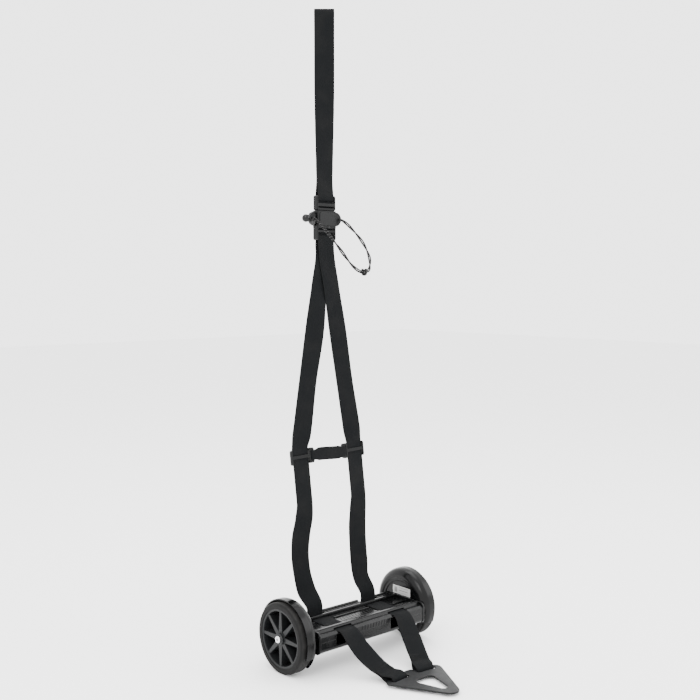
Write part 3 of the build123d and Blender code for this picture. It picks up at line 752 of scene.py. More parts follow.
@dataclass
class Strap:
    """A length of webbing that runs smoothly through its points."""

    name: str
    route: list[StrapPoint]
    thick: float = 1.6 * MM
    step: float = 5.0 * MM
    closed: bool = False

    def stations(self) -> list[Station]:
        """Smooths the route into closely spaced stations.

        Returns:
            The stations from end to end.
        """
        places = [stop.point for stop in self.route]
        last = len(places) - 1
        slopes: list[Vector] = []
        for i, here in enumerate(places):
            before = places[i - 1] if i else (places[-2] if self.closed else None)
            after = places[i + 1] if i < last else (places[1] if self.closed else None)
            if before is None:
                slopes.append((after - here).normalized())
            elif after is None:
                slopes.append((here - before).normalized())
            else:
                back, ahead = (here - before).length, (after - here).length
                slopes.append(((after - here) / ahead * back + (here - before) / back * ahead) / (back + ahead))
        stations: list[Station] = []
        for i in range(last):
            length = (places[i + 1] - places[i]).length
            pieces = max(2, math.ceil(length / self.step))
            for j in range(pieces + (i == last - 1)):
                stations.append(self.between(i, j / pieces, length, slopes))
        return stations

    def between(self, i: int, t: float, length: float, slopes: list[Vector]) -> Station:
        """One station between two of the route's points.

        Args:
            i: The number of the point before it.
            t: How far it is to the next, from 0 to 1.
            length: The distance between the two.
            slopes: The line's direction at every point.

        Returns:
            The station.
        """
        low, high = self.route[i], self.route[i + 1]
        squared, cubed = t * t, t * t * t
        point = (
            low.point * (2 * cubed - 3 * squared + 1)
            + slopes[i] * (length * (cubed - 2 * squared + t))
            + high.point * (3 * squared - 2 * cubed)
            + slopes[i + 1] * (length * (cubed - squared))
        )
        run = (
            low.point * (6 * squared - 6 * t)
            + slopes[i] * (length * (3 * squared - 4 * t + 1))
            + high.point * (6 * t - 6 * squared)
            + slopes[i + 1] * (length * (3 * squared - 2 * t))
        ).normalized()
        eased = squared * (3 - 2 * t)
        way = low.way.lerp(high.way, eased)
        across = (way - run * way.dot(run)).normalized()
        return Station(point, across, run.cross(across), low.width + (high.width - low.width) * eased)

    def build(self, finish: bpy.types.Material) -> bpy.types.Object:
        """Sweeps the webbing into an object.

        Args:
            finish: Its material.

        Returns:
            The object.
        """
        bm = bmesh.new()
        sweep(bm, webbing_section(self.thick), self.stations(), self.closed)
        piece = add_object(self.name, bm, finish)
        return piece


@dataclass
class Stitching:
    """Rows of sewing thread that lie on webbing."""

    name: str
    rows: list[tuple[Vector, Vector]]
    up: Vector
    pitch: float = 3.2 * MM
    length: float = 2.3 * MM
    thread: float = 0.42 * MM

    def build(self, finish: bpy.types.Material) -> bpy.types.Object:
        """Makes every stitch as a small rounded length of thread.

        Args:
            finish: The thread's material.

        Returns:
            The object.
        """
        bm = bmesh.new()
        for start, end in self.rows:
            run = (end - start).normalized()
            side = self.up.cross(run).normalized()
            lift = run.cross(side)
            count = max(1, round((end - start).length / self.pitch))
            for i in range(count):
                middle = start.lerp(end, (i + 0.5) / count)
                turn = Matrix((run, side, lift)).transposed().to_4x4()
                size = Matrix.Diagonal((self.length / 2, self.thread, self.thread, 1.0))
                bmesh.ops.create_icosphere(
                    bm, subdivisions=2, radius=1.0, matrix=Matrix.Translation(middle) @ turn @ size
                )
        piece = add_object(self.name, bm, finish)
        return piece


# ---- the cord that pulls the buckle open ----
@dataclass
class PullCord:
    """A doubled cord that hangs in a loop from ear to ear of the buckle, knotted at its lowest point."""

    route: tuple[tuple[float, float, float], ...] = (
        (-44, 56.9, 829),
        (-43, 44, 824),
        (-34, 29, 804),
        (-25, 12, 781),
        (-19, -7, 757),
        (-12, -24, 735),
        (4, -33, 724),
        (24, -28, 730),
        (40, -13, 748),
        (48, 5, 769),
        (46, 22, 791),
        (36, 37, 811),
        (27, 45, 823),
        (24, 56.9, 829),
    )
    strand_radius: float = 1.45 * MM
    twist: float = 70.0
    diameter: float = 5.0 * MM
    length: float = 0.310
    knot_size: float = 1.7 * MM
    knot_strand: float = 2.0 * MM
    knot_steps: int = 72

    def line(self) -> list[Vector]:
        """Reads the smooth line that the cord follows from a NURBS spline through the route.

        Returns:
            The line's points, in order.
        """
        curve = bpy.data.curves.new("pull_cord_line", "CURVE")
        curve.dimensions = "3D"
        curve.resolution_u = 10
        spline = curve.splines.new("NURBS")
        spline.points.add(len(self.route) - 1)
        for knot, place in zip(spline.points, self.route):
            knot.co = (*at(*place), 1.0)
        spline.order_u = 3
        spline.use_endpoint_u = True
        holder = bpy.data.objects.new("pull_cord_line", curve)
        bpy.context.scene.collection.objects.link(holder)
        bpy.context.view_layer.update()
        mesh = bpy.data.meshes.new_from_object(holder.evaluated_get(bpy.context.evaluated_depsgraph_get()))
        points = [vert.co.copy() for vert in mesh.vertices]
        bpy.data.objects.remove(holder)
        bpy.data.curves.remove(curve)
        bpy.data.meshes.remove(mesh)
        return points

    def build_strands(self, points: list[Vector], finish: bpy.types.Material) -> bpy.types.Object:
        """Lays two strands side by side along the line, loosely twisted.

        Args:
            points: The line's points.
            finish: The cord's material.

        Returns:
            The object.
        """
        bm = bmesh.new()
        guides = carried(points, self.twist)
        for side in (-1, 1):
            offset = [guide.origin + guide.across * (side * self.strand_radius * 1.12) for guide in guides]
            sweep(bm, round_section(self.strand_radius, 10), carried(offset))
        piece = add_object("pull_cord_strands", bm, finish)
        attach(piece, "buckle")
        return piece

    def build_knot(self, points: list[Vector], finish: bpy.types.Material) -> bpy.types.Object:
        """Ties an overhand knot round the line's lowest point.

        Args:
            points: The line's points.
            finish: The cord's material.

        Returns:
            The object.
        """
        lowest = min(range(len(points)), key=lambda i: points[i].z)
        run = (points[lowest + 1] - points[lowest - 1]).normalized()
        side = run.cross(UP).normalized()
        lift = side.cross(run)
        turns: list[Vector] = []
        for i in range(self.knot_steps + 2):
            t = 2 * math.pi * i / self.knot_steps
            wide = (math.sin(t) + 2 * math.sin(2 * t)) * self.knot_size
            tall = (math.cos(t) - 2 * math.cos(2 * t)) * self.knot_size * 1.1
            deep = -math.sin(3 * t) * self.knot_size * 1.5
            turns.append(points[lowest] + side * wide + lift * (tall + 1.5 * MM) + run * deep)
        bm = bmesh.new()
        sweep(bm, round_section(self.knot_strand, 12), carried(turns))
        piece = add_object("pull_cord_knot", bm, finish)
        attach(piece, "buckle")
        return piece

    def build(self, finish: bpy.types.Material) -> None:
        """Args:
            finish: The cord's material.
        """
        points = self.line()
        strands = self.build_strands(points, finish)
        knot = self.build_knot(points, finish)
        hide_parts("pull_cord")
        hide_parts("cord_knot")
        log.info("pull cord of %d points and its knot", len(points))


# ---- hand loop ----
@dataclass
class HandLoop:
    """Doubled webbing round the buckle's top bar, twisted half-way to its open crown."""

    bar_z: float = 865.5
    bar_radius: float = 4.15
    crown_z: float = 1212.2
    crown_radius: float = 7.0
    twist_from: float = 884.0
    twist_to: float = 1176.0
    twist: float = -41.0
    gaps: tuple[tuple[float, float], ...] = (
        (865.5, 4.15),
        (878.0, 3.2),
        (894.0, 1.3),
        (1180.0, 1.3),
        (1196.0, 4.6),
        (1212.2, 7.0),
    )
    levels: tuple[float, ...] = (878, 886, 896, 930, 965, 1000, 1035, 1070, 1105, 1140, 1172, 1184, 1196, 1205)

    def turn(self, z: float) -> float:
        """The loop's turn about the vertical at a height, in radians."""
        share = min(max((z - self.twist_from) / (self.twist_to - self.twist_from), 0.0), 1.0)
        return math.radians(self.twist) * share * share * (3 - 2 * share)

    def way(self, z: float) -> Vector:
        """The direction across the webbing at a height."""
        return Vector((math.cos(self.turn(z)), math.sin(self.turn(z)), 0.0))

    def gap(self, z: float) -> float:
        """Half the distance between the two strands' middles at a height."""
        for (low, low_gap), (high, high_gap) in zip(self.gaps, self.gaps[1:]):
            if low <= z <= high:
                return low_gap + (high_gap - low_gap) * (z - low) / (high - low)
        return self.gaps[-1][1]

    def strand(self, z: float, layer: int) -> StrapPoint:
        """A stop on the front or rear strand at a height."""
        back = Vector((-math.sin(self.turn(z)), math.cos(self.turn(z)), 0.0))
        return StrapPoint(at(AXIS_X, AXIS_Y, z) + back * (layer * self.gap(z) * MM), self.way(z))

    def build(self, finish: bpy.types.Material) -> None:
        """Builds the loop as one closed length of webbing.

        Args:
            finish: The webbing's material.
        """
        route = [self.strand(z, 1) for z in self.levels]
        way = self.way(self.crown_z)
        back = Vector((-way.y, way.x, 0.0))
        for along, rise in arc(0, 180):
            reach = (back * along + UP * rise) * (self.crown_radius * MM)
            route.append(StrapPoint(at(AXIS_X, AXIS_Y, self.crown_z) + reach, way))
        route += [self.strand(z, -1) for z in reversed(self.levels)]
        for along, rise in arc(180, 360):
            y, z = AXIS_Y + self.bar_radius * along, self.bar_z + self.bar_radius * rise
            route.append(StrapPoint(at(AXIS_X, y, z)))
        route.append(route[0])
        loop = Strap("hand_loop_webbing", route, closed=True).build(finish)
        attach(loop, "hand_loop")
        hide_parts("hand_loop")
        log.info("hand loop of %d stops", len(route))


# ---- harness legs, cross strap ----
@dataclass(frozen=True)
class LegBend:
    """A place where a leg leaves its straight line: height, shifts to the right and rear, and turn."""

    height: float
    right: float
    rear: float
    turn: float


@dataclass
class Harness:
    """Webbing looped over the buckle's lower bar, one leg down to each rear slot of the deck, and a cross strap."""

    slot_x: float = 67.5
    slot_y: float = 23.5
    slider_z: float = 379.0
    slider_shift: float = -7.5
    slider_y: float = 56.0
    fold_z: float = 85.3
    bar_z: float = 793.5
    bar_radius: float = 4.15
    parting_z: float = 785.0
    crossing_z: float = 765.0
    straight_below: float = 16.0
    deck_path: tuple[tuple[float, float], ...] = (
        (23.9, 96),
        (23.5, 84.1),
        (23.5, 81.4),
        (22.5, 78.9),
        (20, 77.9),
        (12, 77.9),
        (-20, 77.9),
        (-51, 77.9),
    )
    straight_heights: tuple[float, ...] = (395, 363, 330, 304, 293)
    upper_bends: dict[Side, tuple[LegBend, ...]] = field(
        default_factory=lambda: {
            Side.LEFT: (LegBend(610, 1, -1, 20), LegBend(521, 0, 0, 9), LegBend(422, 0, -1, 16)),
            Side.RIGHT: (LegBend(610, 0, 0, 9), LegBend(521, 0, 1, 6), LegBend(422, 0, 0, 12)),
        }
    )
    lower_bends: dict[Side, tuple[LegBend, ...]] = field(
        default_factory=lambda: {
            Side.LEFT: (
                LegBend(262, -3, 3, 9),
                LegBend(230, -9, 9, 12),
                LegBend(195, -13, 12, 8),
                LegBend(160, -13, 11, 6),
                LegBend(128, -9, 8, 14),
            ),
            Side.RIGHT: (
                LegBend(262, -2, 3, 8),
                LegBend(230, -4, 7, 12),
                LegBend(195, -6, 8, 12),
                LegBend(160, -7, 8, 14),
                LegBend(128, -7, 7, 4),
            ),
        }
    )

    @property
    def run(self) -> Vector:
        """The direction down a leg below its slider."""
        return Vector((-self.slider_shift, self.slot_y - self.slider_y, self.fold_z - self.slider_z)).normalized()

    def slider(self, side: Side) -> Vector:
        """The middle of a slider."""
        return at(side.value * self.slot_x + self.slider_shift, self.slider_y, self.slider_z)

    def straight(self, side: Side, height: float) -> Vector:
        """The point of a leg's straight line at a height."""
        slider = self.slider(side)
        rise = (height - self.slider_z) * MM
        if rise < self.straight_below * MM:
            return slider + self.run * (rise / self.run.z)
        top = self.crossing(side)
        elbow = slider - self.run * (self.straight_below * MM)
        return elbow.lerp(top, ((height - GRIP_Z) * MM - elbow.z) / (top.z - elbow.z))

    def layer(self, side: Side) -> int:
        """Which face of the other leg a leg lies on: -1 for the front, 1 for the rear."""
        return -side.value

    def crossing(self, side: Side) -> Vector:
        """The point just under the buckle where a leg sets off to its side."""
        return at(AXIS_X + 2 * side.value, AXIS_Y - 1 + self.layer(side) * 2.2, self.crossing_z)

    def leg_route(self, side: Side) -> list[StrapPoint]:
        """The stops of a leg, from the buckle's bar to under the deck's front rail.

        Args:
            side: Which leg.

        Returns:
            The stops.
        """
        route: list[StrapPoint] = []
        if side is Side.RIGHT:
            route.append(StrapPoint(at(AXIS_X, AXIS_Y + self.bar_radius, self.parting_z)))
            for along, rise in arc(0, 180):
                y, z = AXIS_Y + self.bar_radius * along, self.bar_z + self.bar_radius * rise
                route.append(StrapPoint(at(AXIS_X, y, z)))
        y = AXIS_Y + self.layer(side) * self.bar_radius
        route.append(StrapPoint(at(AXIS_X, y, self.parting_z)))
        route.append(StrapPoint(at(AXIS_X + 0.4 * side.value, y, self.parting_z - 5)))
        route += [StrapPoint(self.crossing(side)), StrapPoint(self.straight(side, 700))]
        level = tuple(LegBend(height, 0, 0, 0) for height in self.straight_heights)
        for bend in self.upper_bends[side] + level + self.lower_bends[side]:
            turn = math.radians(bend.turn)
            way = Vector((math.cos(turn), -math.sin(turn), 0.0))
            shift = Vector((bend.right, bend.rear, 0)) * MM
            route.append(StrapPoint(self.straight(side, bend.height) + shift, way))
        route += [StrapPoint(at(side.value * self.slot_x, y, z)) for y, z in self.deck_path]
        return route

    def build(self, finish: bpy.types.Material) -> None:
        """Builds both legs and the cross strap.

        Args:
            finish: The webbing's material.
        """
        for side in Side:
            leg = Strap(f"{side.word}_leg_webbing", self.leg_route(side)).build(finish)
            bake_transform(leg)
            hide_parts(f"{side.word}_harness_leg", f"{side.word}_deck_webbing")
            if side is Side.RIGHT:
                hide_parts("harness_bend")
            log.info("%s harness leg", side.word)
        self.build_cross(finish)

    def build_cross(self, finish: bpy.types.Material) -> None:
        """Builds the narrower strap between the two sliders.

        Args:
            finish: The webbing's material.
        """
        side_way = (X_WAY - self.run * X_WAY.dot(self.run)).normalized()
        back = side_way.cross(self.run)
        slot_x, inner_x, face = 24.5, 31.2, 4.15
        profile = (
            (slot_x, 2.4, 18.0),
            (slot_x, -2.0, 18.0),
            (slot_x + 0.8, -face + 0.6, 18.0),
            (slot_x + 2.6, -face, 18.5),
            (inner_x + 2.0, -face, 20.0),
            (inner_x + 12.0, -face + 0.8, 25.0),
        )
        up = self.run * -1
        halves: list[list[StrapPoint]] = []
        for side in Side:
            middle = self.slider(side)
            stops = [
                StrapPoint(middle - side_way * (side.value * inward * MM) + back * (rear * MM), up, width * MM)
                for inward, rear, width in profile
            ]
            halves.append(stops if side is Side.LEFT else stops[::-1])
        strap = Strap("cross_webbing", halves[0] + halves[1], step=3 * MM).build(finish)
        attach(strap, "cross")
        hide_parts("cross_strap")
        log.info("cross strap")


# ---- toe straps ----
@dataclass
class ToeStrap:
    """Webbing from under the deck's front rail, over the lip, to a sewn eye round the toe plate's slot bar."""

    side: Side
    slot_x: float = 67.5
    plate_x: float = 33.0
    plate_turn: float = 6.0
    bar_y: float = -166.0
    bar_z: float = 6.5
    eye_radius: float = 5.6
    eye_start: float = 241.0
    eye_step: float = 22.5
    eye_stops: int = 9
    tab_share: float = 0.55
    tab_gap: float = 2.0
    lane_z: float = 77.9
    lane: tuple[float, ...] = (-51.0, -60.0, -67.5)
    box_half: float = 15.5
    turn: float = 18.0
    line: tuple[tuple[float, float], ...] = (
        (-71.5, 77.9),
        (-79.5, 72.5),
        (-92.0, 58.5),
        (-110.0, 41.0),
        (-129.0, 26.0),
        (-147.0, 15.0),
    )

    def build(self, finish: bpy.types.Material, thread: bpy.types.Material) -> None:
        """Builds the strap and its stitching.

        Args:
            finish: The webbing's material.
            thread: The sewing thread's material.
        """
        sign = self.side.value
        turn = math.radians(-sign * self.plate_turn)
        middle = at(sign * self.plate_x, self.bar_y, self.bar_z)
        along = Vector((math.cos(turn), math.sin(turn), 0.0))
        forward = Vector((math.sin(turn), -math.cos(turn), 0.0))
        route = [StrapPoint(at(sign * self.slot_x, y, self.lane_z)) for y in self.lane]
        for y, z in self.line:
            share = (self.line[0][0] - y) / (self.line[0][0] - self.bar_y)
            x = sign * (self.slot_x - share**1.5 * (self.slot_x - self.plate_x))
            facing = math.radians(self.turn * math.sin(math.pi * min(share * 1.1, 1.0)))
            way = Matrix.Rotation(-facing, 3, "Z") @ X_WAY.lerp(along, share)
            route.append(StrapPoint(at(x, y, z), way))
        landing, before = route[-1].point, route[-2].point
        for step in range(self.eye_stops):
            angle = math.radians(self.eye_start + self.eye_step * step)
            reach = forward * math.cos(angle) + UP * math.sin(angle)
            route.append(StrapPoint(middle + reach * (self.eye_radius * MM), along))
        up = (before - landing).normalized().cross(along).normalized()
        up = up if up.z > 0 else -up
        lift = up * (self.tab_gap * MM)
        tab_end = landing.lerp(before, self.tab_share) + lift
        route += [StrapPoint(landing + lift, along), StrapPoint(tab_end, along)]
        word = self.side.word
        strap = Strap(f"{word}_toe_webbing", route, step=4 * MM).build(finish)
        x = sign * self.slot_x
        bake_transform(strap)
        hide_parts(f"{word}_toe_strap")
        self.sew(landing + lift, tab_end, along, up, thread)
        log.info("%s toe strap", word)

    def sew(self, low: Vector, high: Vector, along: Vector, up: Vector, thread: bpy.types.Material) -> None:
        """Sews the strap's end down with a crossed box.

        Args:
            low: The middle of the sewn length's lower end.
            high: The middle of its upper end.
            along: The direction across the webbing.
            up: The direction off the webbing.
            thread: The thread's material.
        """
        top = up * (0.9 * MM)
        run = (high - low).normalized()
        bottom_row, top_row = low + top + run * (1.5 * MM), high + top - run * (2.2 * MM)
        half = along * (self.box_half * MM)
        corners = [bottom_row - half, bottom_row + half, top_row + half, top_row - half]
        rows = [(corners[i], corners[(i + 1) % 4]) for i in range(4)]
        rows += [(corners[0], corners[2]), (corners[1], corners[3])]
        rows.append((top_row - half - run * (1.2 * MM), top_row + half - run * (1.2 * MM)))
        piece = Stitching(f"{self.side.word}_toe_stitching", rows, up).build(thread)
        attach(piece, "toe_straps")


# ---- buckle details ----
@dataclass
class BuckleDetails:
    """The buckle's face plate, vent and webbing tails, the stop ball's collar and the knot at the left ear."""

    front_y: float = 54.5
    plate_width: float = 36.0
    low_z: float = 815.0
    high_z: float = 840.0
    tail_y: float = 60.6
    vent: tuple[float, float] = (-5.0, 812.0)
    ball: tuple[float, float] = (-49.6, 828.0)
    ear_knot: tuple[float, float, float] = (-43.5, 57.0, 819.5)

    def face_plate(self, finish: bpy.types.Material) -> bpy.types.Object:
        """A thin raised plate with rounded corners on the front of the socket.

        Args:
            finish: The plate's material.

        Returns:
            The object.
        """
        bm = bmesh.new()
        middle = at(AXIS_X, self.front_y - 0.15, (self.low_z + self.high_z) / 2)
        edges = add_block(bm, middle, Vector((self.plate_width, 1.5, self.high_z - self.low_z)) * MM)
        soften(bm, along_axis(edges, 1), 4 * MM, 6)
        front = min(vert.co.y for vert in bm.verts)
        rim = [edge for edge in bm.edges if all(vert.co.y < front + 1e-6 for vert in edge.verts)]
        soften(bm, rim, 0.6 * MM, 3)
        piece = add_object("buckle_face_plate", bm, finish, smooth=False)
        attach(piece, "buckle")
        return piece

    def ring(
        self, name: str, centre: Vector, axis: Vector, radius: float, wire: float, finish: bpy.types.Material
    ) -> bpy.types.Object:
        """A round ring spun from a small circle.

        Args:
            name: The piece's name.
            centre: The ring's middle.
            axis: The direction that it is spun about.
            radius: Its radius.
            wire: The radius of its section.
            finish: Its material.

        Returns:
            The object.
        """
        bm = bmesh.new()
        axis = axis.normalized()
        out = axis.orthogonal().normalized()
        turn = Matrix((out, axis, out.cross(axis))).transposed().to_4x4()
        place = Matrix.Translation(centre + out * radius) @ turn
        bmesh.ops.create_circle(bm, segments=12, radius=wire, matrix=place)
        geom = bm.verts[:] + bm.edges[:]
        bmesh.ops.spin(bm, geom=geom, cent=centre, axis=axis, angle=2 * math.pi, steps=40, use_merge=True)
        return add_object(name, bm, finish)

    def backings(self, webbing: bpy.types.Material) -> None:
        """The webbing tails that lie behind the ladder bars of both halves.

        Args:
            webbing: Their material.
        """
        for name, low, high in (("upper", 843.8, 861.2), ("lower", 797.4, 812.0)):
            route = [StrapPoint(at(AXIS_X, self.tail_y, z)) for z in (low, (low + high) / 2, high)]
            tail = Strap(f"buckle_{name}_tail", route).build(webbing)
            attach(tail, "buckle")

    def tail_knot(self, finish: bpy.types.Material) -> None:
        """The small lump that stops the cord under the left ear.

        Args:
            finish: Its material.
        """
        bm = bmesh.new()
        place = scaled_at(at(*self.ear_knot), 4.6, 4.2, 5.2)
        bmesh.ops.create_icosphere(bm, subdivisions=3, radius=1.0, matrix=place)
        piece = add_object("left_ear_knot", bm, finish)
        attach(piece, "left_prong")

    def build(self, plastic: bpy.types.Material, dark: bpy.types.Material, webbing: bpy.types.Material) -> None:
        """Builds the details.

        Args:
            plastic: The buckle's smoother plastic.
            dark: The dark material of collars and the vent.
            webbing: The webbing's material.
        """
        self.face_plate(plastic)
        self.backings(webbing)
        self.tail_knot(dark)
        vent_place = at(self.vent[0], self.front_y - 0.1, self.vent[1])
        vent = self.ring("buckle_vent", vent_place, Vector((0, 1, 0)), 1.5 * MM, 0.5 * MM, dark)
        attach(vent, "buckle")
        collar_place = at(self.ball[0], AXIS_Y, self.ball[1])
        collar = self.ring("stop_ball_collar", collar_place, X_WAY, 4.4 * MM, 1.1 * MM, dark)
        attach(collar, "left_prong")
        log.info("buckle details")


# ---- deck trim ----
@dataclass(frozen=True)
class Ridge:
    """A moulded ridge along the deck: its ends, its place front to rear, its foot, width and height."""

    left: float
    right: float
    y: float
    foot: float
    width: float
    height: float


@dataclass
class DeckTrim:
    """Rounded ridges, grip ribs and end flanges moulded on the deck."""

    ridges: tuple[Ridge, ...] = (
        Ridge(-131.5, 131.5, -51.0, 82.2, 6.2, 2.6),
        Ridge(-131.5, 131.5, 11.0, 82.2, 4.8, 2.4),
        Ridge(-131.5, -90.0, 27.6, 78.0, 6.2, 8.2),
        Ridge(-45.0, 45.0, 27.6, 78.0, 6.2, 8.2),
        Ridge(90.0, 131.5, 27.6, 78.0, 6.2, 8.2),
        Ridge(-45.0, 45.0, -37.5, 76.5, 4.6, 4.4),
        Ridge(-45.0, 45.0, -4.0, 76.5, 3.4, 3.0),
        Ridge(90.5, 130.5, -37.5, 76.5, 4.6, 4.4),
        Ridge(90.5, 130.5, -20.0, 76.5, 3.0, 3.0),
        Ridge(-130.5, -90.5, -37.5, 76.5, 4.6, 4.4),
        Ridge(-130.5, -90.5, -4.0, 76.5, 3.4, 3.0),
    )
    rib_count: int = 11
    rib_pitch: float = 7.5
    rib_lean: float = -0.25
    rib_size: Vector = field(default_factory=lambda: Vector((3.4, 15.0, 1.2)))
    rear_rib_size: Vector = field(default_factory=lambda: Vector((2.6, 1.2, 3.4)))
    flange_x: float = 130.2
    flange_middle: tuple[float, float] = (-18.95, 63.9)
    flange_size: Vector = field(default_factory=lambda: Vector((3.2, 101.5, 41.0)))
    flange_rounding: float = 9.0

    def build(self, finish: bpy.types.Material) -> None:
        """Builds the ridges with the end flanges, and the grip ribs.

        Args:
            finish: The deck's material.
        """
        bm = bmesh.new()
        for ridge in self.ridges:
            middle = at((ridge.left + ridge.right) / 2, ridge.y, ridge.foot + ridge.height / 2)
            size = Vector((ridge.right - ridge.left, ridge.width, ridge.height)) * MM
            soften(bm, add_block(bm, middle, size), min(ridge.width, ridge.height) * 0.42 * MM, 4)
        for side in Side:
            edges = add_block(bm, at(side.value * self.flange_x, *self.flange_middle), self.flange_size * MM)
            soften(bm, along_axis(edges, 0), self.flange_rounding * MM, 8)
        ridges = add_object("deck_ridges", bm, finish, smooth=False)
        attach(ridges, "deck")
        bm = bmesh.new()
        for i in range(self.rib_count):
            x = (i - (self.rib_count - 1) / 2) * self.rib_pitch
            soften(bm, add_block(bm, at(x, -20.5, 76.9), self.rib_size * MM, self.rib_lean), 0.5 * MM, 4)
            soften(bm, add_block(bm, at(x, 24.4, 83.6), self.rear_rib_size * MM), 0.4 * MM, 4)
        ribs = add_object("deck_grip_ribs", bm, finish, smooth=False)
        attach(ribs, "deck")
        log.info("deck trim: %d ridges", len(self.ridges))


# ---- wheels ----
@dataclass
class RunningGear:
    """Dark centres in the push caps of the hubs."""

    plug_radius: float = 2.6
    plug_depth: float = 0.5

    def cap_centre(self, side: Side, finish: bpy.types.Material) -> None:
        """A small domed plug in the middle of a push cap.

        Args:
            side: Which wheel.
            finish: Its material.
        """
        low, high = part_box(f"{side.word}_push_cap")
        outer = high.x if side is Side.RIGHT else low.x
        centre = Vector((outer - side.value * 0.2 * MM, (low.y + high.y) / 2, (low.z + high.z) / 2))
        bm = bmesh.new()
        place = scaled_at(centre, self.plug_depth, self.plug_radius, self.plug_radius)
        bmesh.ops.create_uvsphere(bm, u_segments=24, v_segments=12, radius=1.0, matrix=place)
        piece = add_object(f"{side.word}_cap_centre", bm, finish)
        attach(piece, "deck")

    def build(self, dark: bpy.types.Material) -> None:
        """Builds the centres of both caps.

        Args:
            dark: The dark plastic.
        """
        for side in Side:
            self.cap_centre(side, dark)
            log.info("%s cap centre", side.word)


# ---- finishes on the solids ----
class Wardrobe:
    """All of the cart's finishes, and which solids wear them."""

    def __init__(self) -> None:
        """Makes every finish once."""
        low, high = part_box("label_plate")
        tyre_low, tyre_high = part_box("left_tyre")
        self.webbing = WebbingFinish().make()
        self.thread = MouldedFinish("thread", 0.006, 0.014, 0.7, Grain.SPARK, 0.1 * MM, 0.06).make()
        self.buckle = MouldedFinish("buckle_plastic", 0.0022, 0.008, 0.42, Grain.SPARK, 1.3 * MM, 0.12).make()
        self.buckle_face = MouldedFinish("buckle_face", 0.0028, 0.009, 0.34, Grain.SMOOTH, 0.8 * MM, 0.13).make()
        self.deck = MouldedFinish("deck_plastic", 0.0018, 0.008, 0.24, Grain.SPARK, 1.1 * MM, 0.17).make()
        self.guard = MouldedFinish("guard_plastic", 0.0016, 0.007, 0.19, Grain.SMOOTH, 1.0 * MM, 0.14).make()
        self.wheel = MouldedFinish("wheel_plastic", 0.0065, 0.018, 0.42, Grain.SPARK, 0.9 * MM, 0.14).make()
        self.tyre = TyreFinish(axle=(tyre_low + tyre_high) / 2).make()
        self.steel = MetalFinish("steel", 0.45, 0.35).make()
        self.cap = MetalFinish("bright_cap", 0.85, 0.12, 0.1).make()
        self.plate = MouldedFinish("plate_paint", 0.004, 0.018, 0.40, Grain.POWDER, 0.6 * MM, 0.14).make()
        self.label = LabelFinish(low=low, high=high).make()
        self.cord = CordFinish().make()
        self.ball = MouldedFinish("ball", 0.0025, 0.01, 0.28, Grain.SMOOTH, 0.6 * MM, 0.2).make()
        self.dark = MouldedFinish("dark_gap", 0.002, 0.006, 0.5, Grain.SMOOTH, 0.3 * MM, 0.5).make()

    def dress(self) -> None:
        """Puts the finishes on the solids that stay."""
        worn = {
            self.buckle: "buckle_top_half buckle_base_half left_prong right_prong left_slider right_slider",
            self.ball: "cord_stop_ball",
            self.deck: "deck_shell base_shell",
            self.guard: "left_wheel_guard right_wheel_guard",
            self.wheel: "left_rim right_rim",
            self.tyre: "left_tyre right_tyre",
            self.steel: "axle deck_screws left_washer right_washer",
            self.cap: "left_push_cap right_push_cap",
            self.plate: "toe_plate",
            self.label: "label_plate",
        }
        for finish, names in worn.items():
            for name in names.split():
                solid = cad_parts[name]
                solid.data.materials.clear()
                solid.data.materials.append(finish)
                log.info("%s wears %s", name, finish.name)


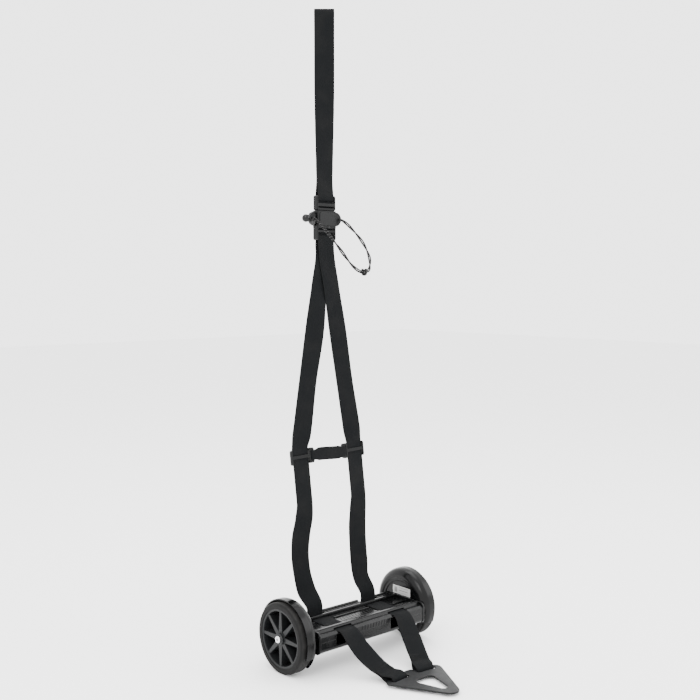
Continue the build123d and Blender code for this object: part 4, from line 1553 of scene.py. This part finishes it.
# ---- studio ----
@dataclass
class Studio:
    """The camera, the pale floor and the soft lights."""

    camera_place: tuple[float, float, float] = (-1.23743, -1.48713, -0.50777)
    camera_down: float = 86.03
    camera_turn: float = -41.2
    lens: float = 51.9
    floor_z: float = -1.220
    floor_half: float = 9.0
    target: tuple[float, float, float] = (0.0, 0.0, -0.8)
    surround: float = 3.4

    def camera(self) -> None:
        """Sets up the camera."""
        data = bpy.data.cameras.new("camera")
        data.lens = self.lens
        data.sensor_width = 36.0
        data.clip_start = 0.05
        holder = bpy.data.objects.new("camera", data)
        holder.location = self.camera_place
        holder.rotation_euler = (math.radians(self.camera_down), 0.0, math.radians(self.camera_turn))
        bpy.context.scene.collection.objects.link(holder)
        bpy.context.scene.camera = holder

    def floor(self) -> None:
        """Lays the floor."""
        bm = bmesh.new()
        place = Matrix.Translation((0.0, 0.0, self.floor_z))
        bmesh.ops.create_grid(bm, x_segments=2, y_segments=2, size=self.floor_half, matrix=place)
        floor = add_object("studio_floor", bm, FloorFinish().make())

    def light(self, name: str, place: Vector, power: float, size: float) -> None:
        """Adds a square soft light.

        Args:
            name: Its name.
            place: Where it is.
            power: Its power in watts.
            size: The length of its side.
        """
        data = bpy.data.lights.new(name, "AREA")
        data.energy = power
        data.size = size
        holder = bpy.data.objects.new(name, data)
        holder.location = place
        holder.rotation_euler = (Vector(self.target) - place).to_track_quat("-Z", "Y").to_euler()
        bpy.context.scene.collection.objects.link(holder)

    def build(self) -> None:
        """Builds the studio."""
        self.camera()
        self.floor()
        self.light("key", Vector((-1.9, -1.2, 1.1)), 60.0, 1.4)
        self.light("fill", Vector((1.8, -1.6, 0.4)), 30.0, 1.6)
        self.light("top", Vector((0.2, 0.5, 1.6)), 45.0, 1.8)
        world = bpy.data.worlds.new("studio_world")
        world.use_nodes = True
        background = world.node_tree.nodes["Background"]
        background.inputs[0].default_value = (1.0, 1.0, 1.0, 1.0)
        background.inputs[1].default_value = self.surround
        bpy.context.scene.world = world
        log.info("studio")


def main() -> None:
    """Builds the scene: studio and cord first, then webbing, details and finishes."""
    logging.basicConfig(level=logging.INFO, format="%(name)s: %(message)s")
    Studio().build()
    wardrobe = Wardrobe()
    PullCord().build(wardrobe.cord)
    HandLoop().build(wardrobe.webbing)
    Harness().build(wardrobe.webbing)
    for side in Side:
        ToeStrap(side).build(wardrobe.webbing, wardrobe.thread)
    BuckleDetails().build(wardrobe.buckle_face, wardrobe.dark, wardrobe.webbing)
    DeckTrim().build(wardrobe.deck)
    RunningGear().build(wardrobe.dark)
    wardrobe.dress()


if __name__ == "__main__":
    main()
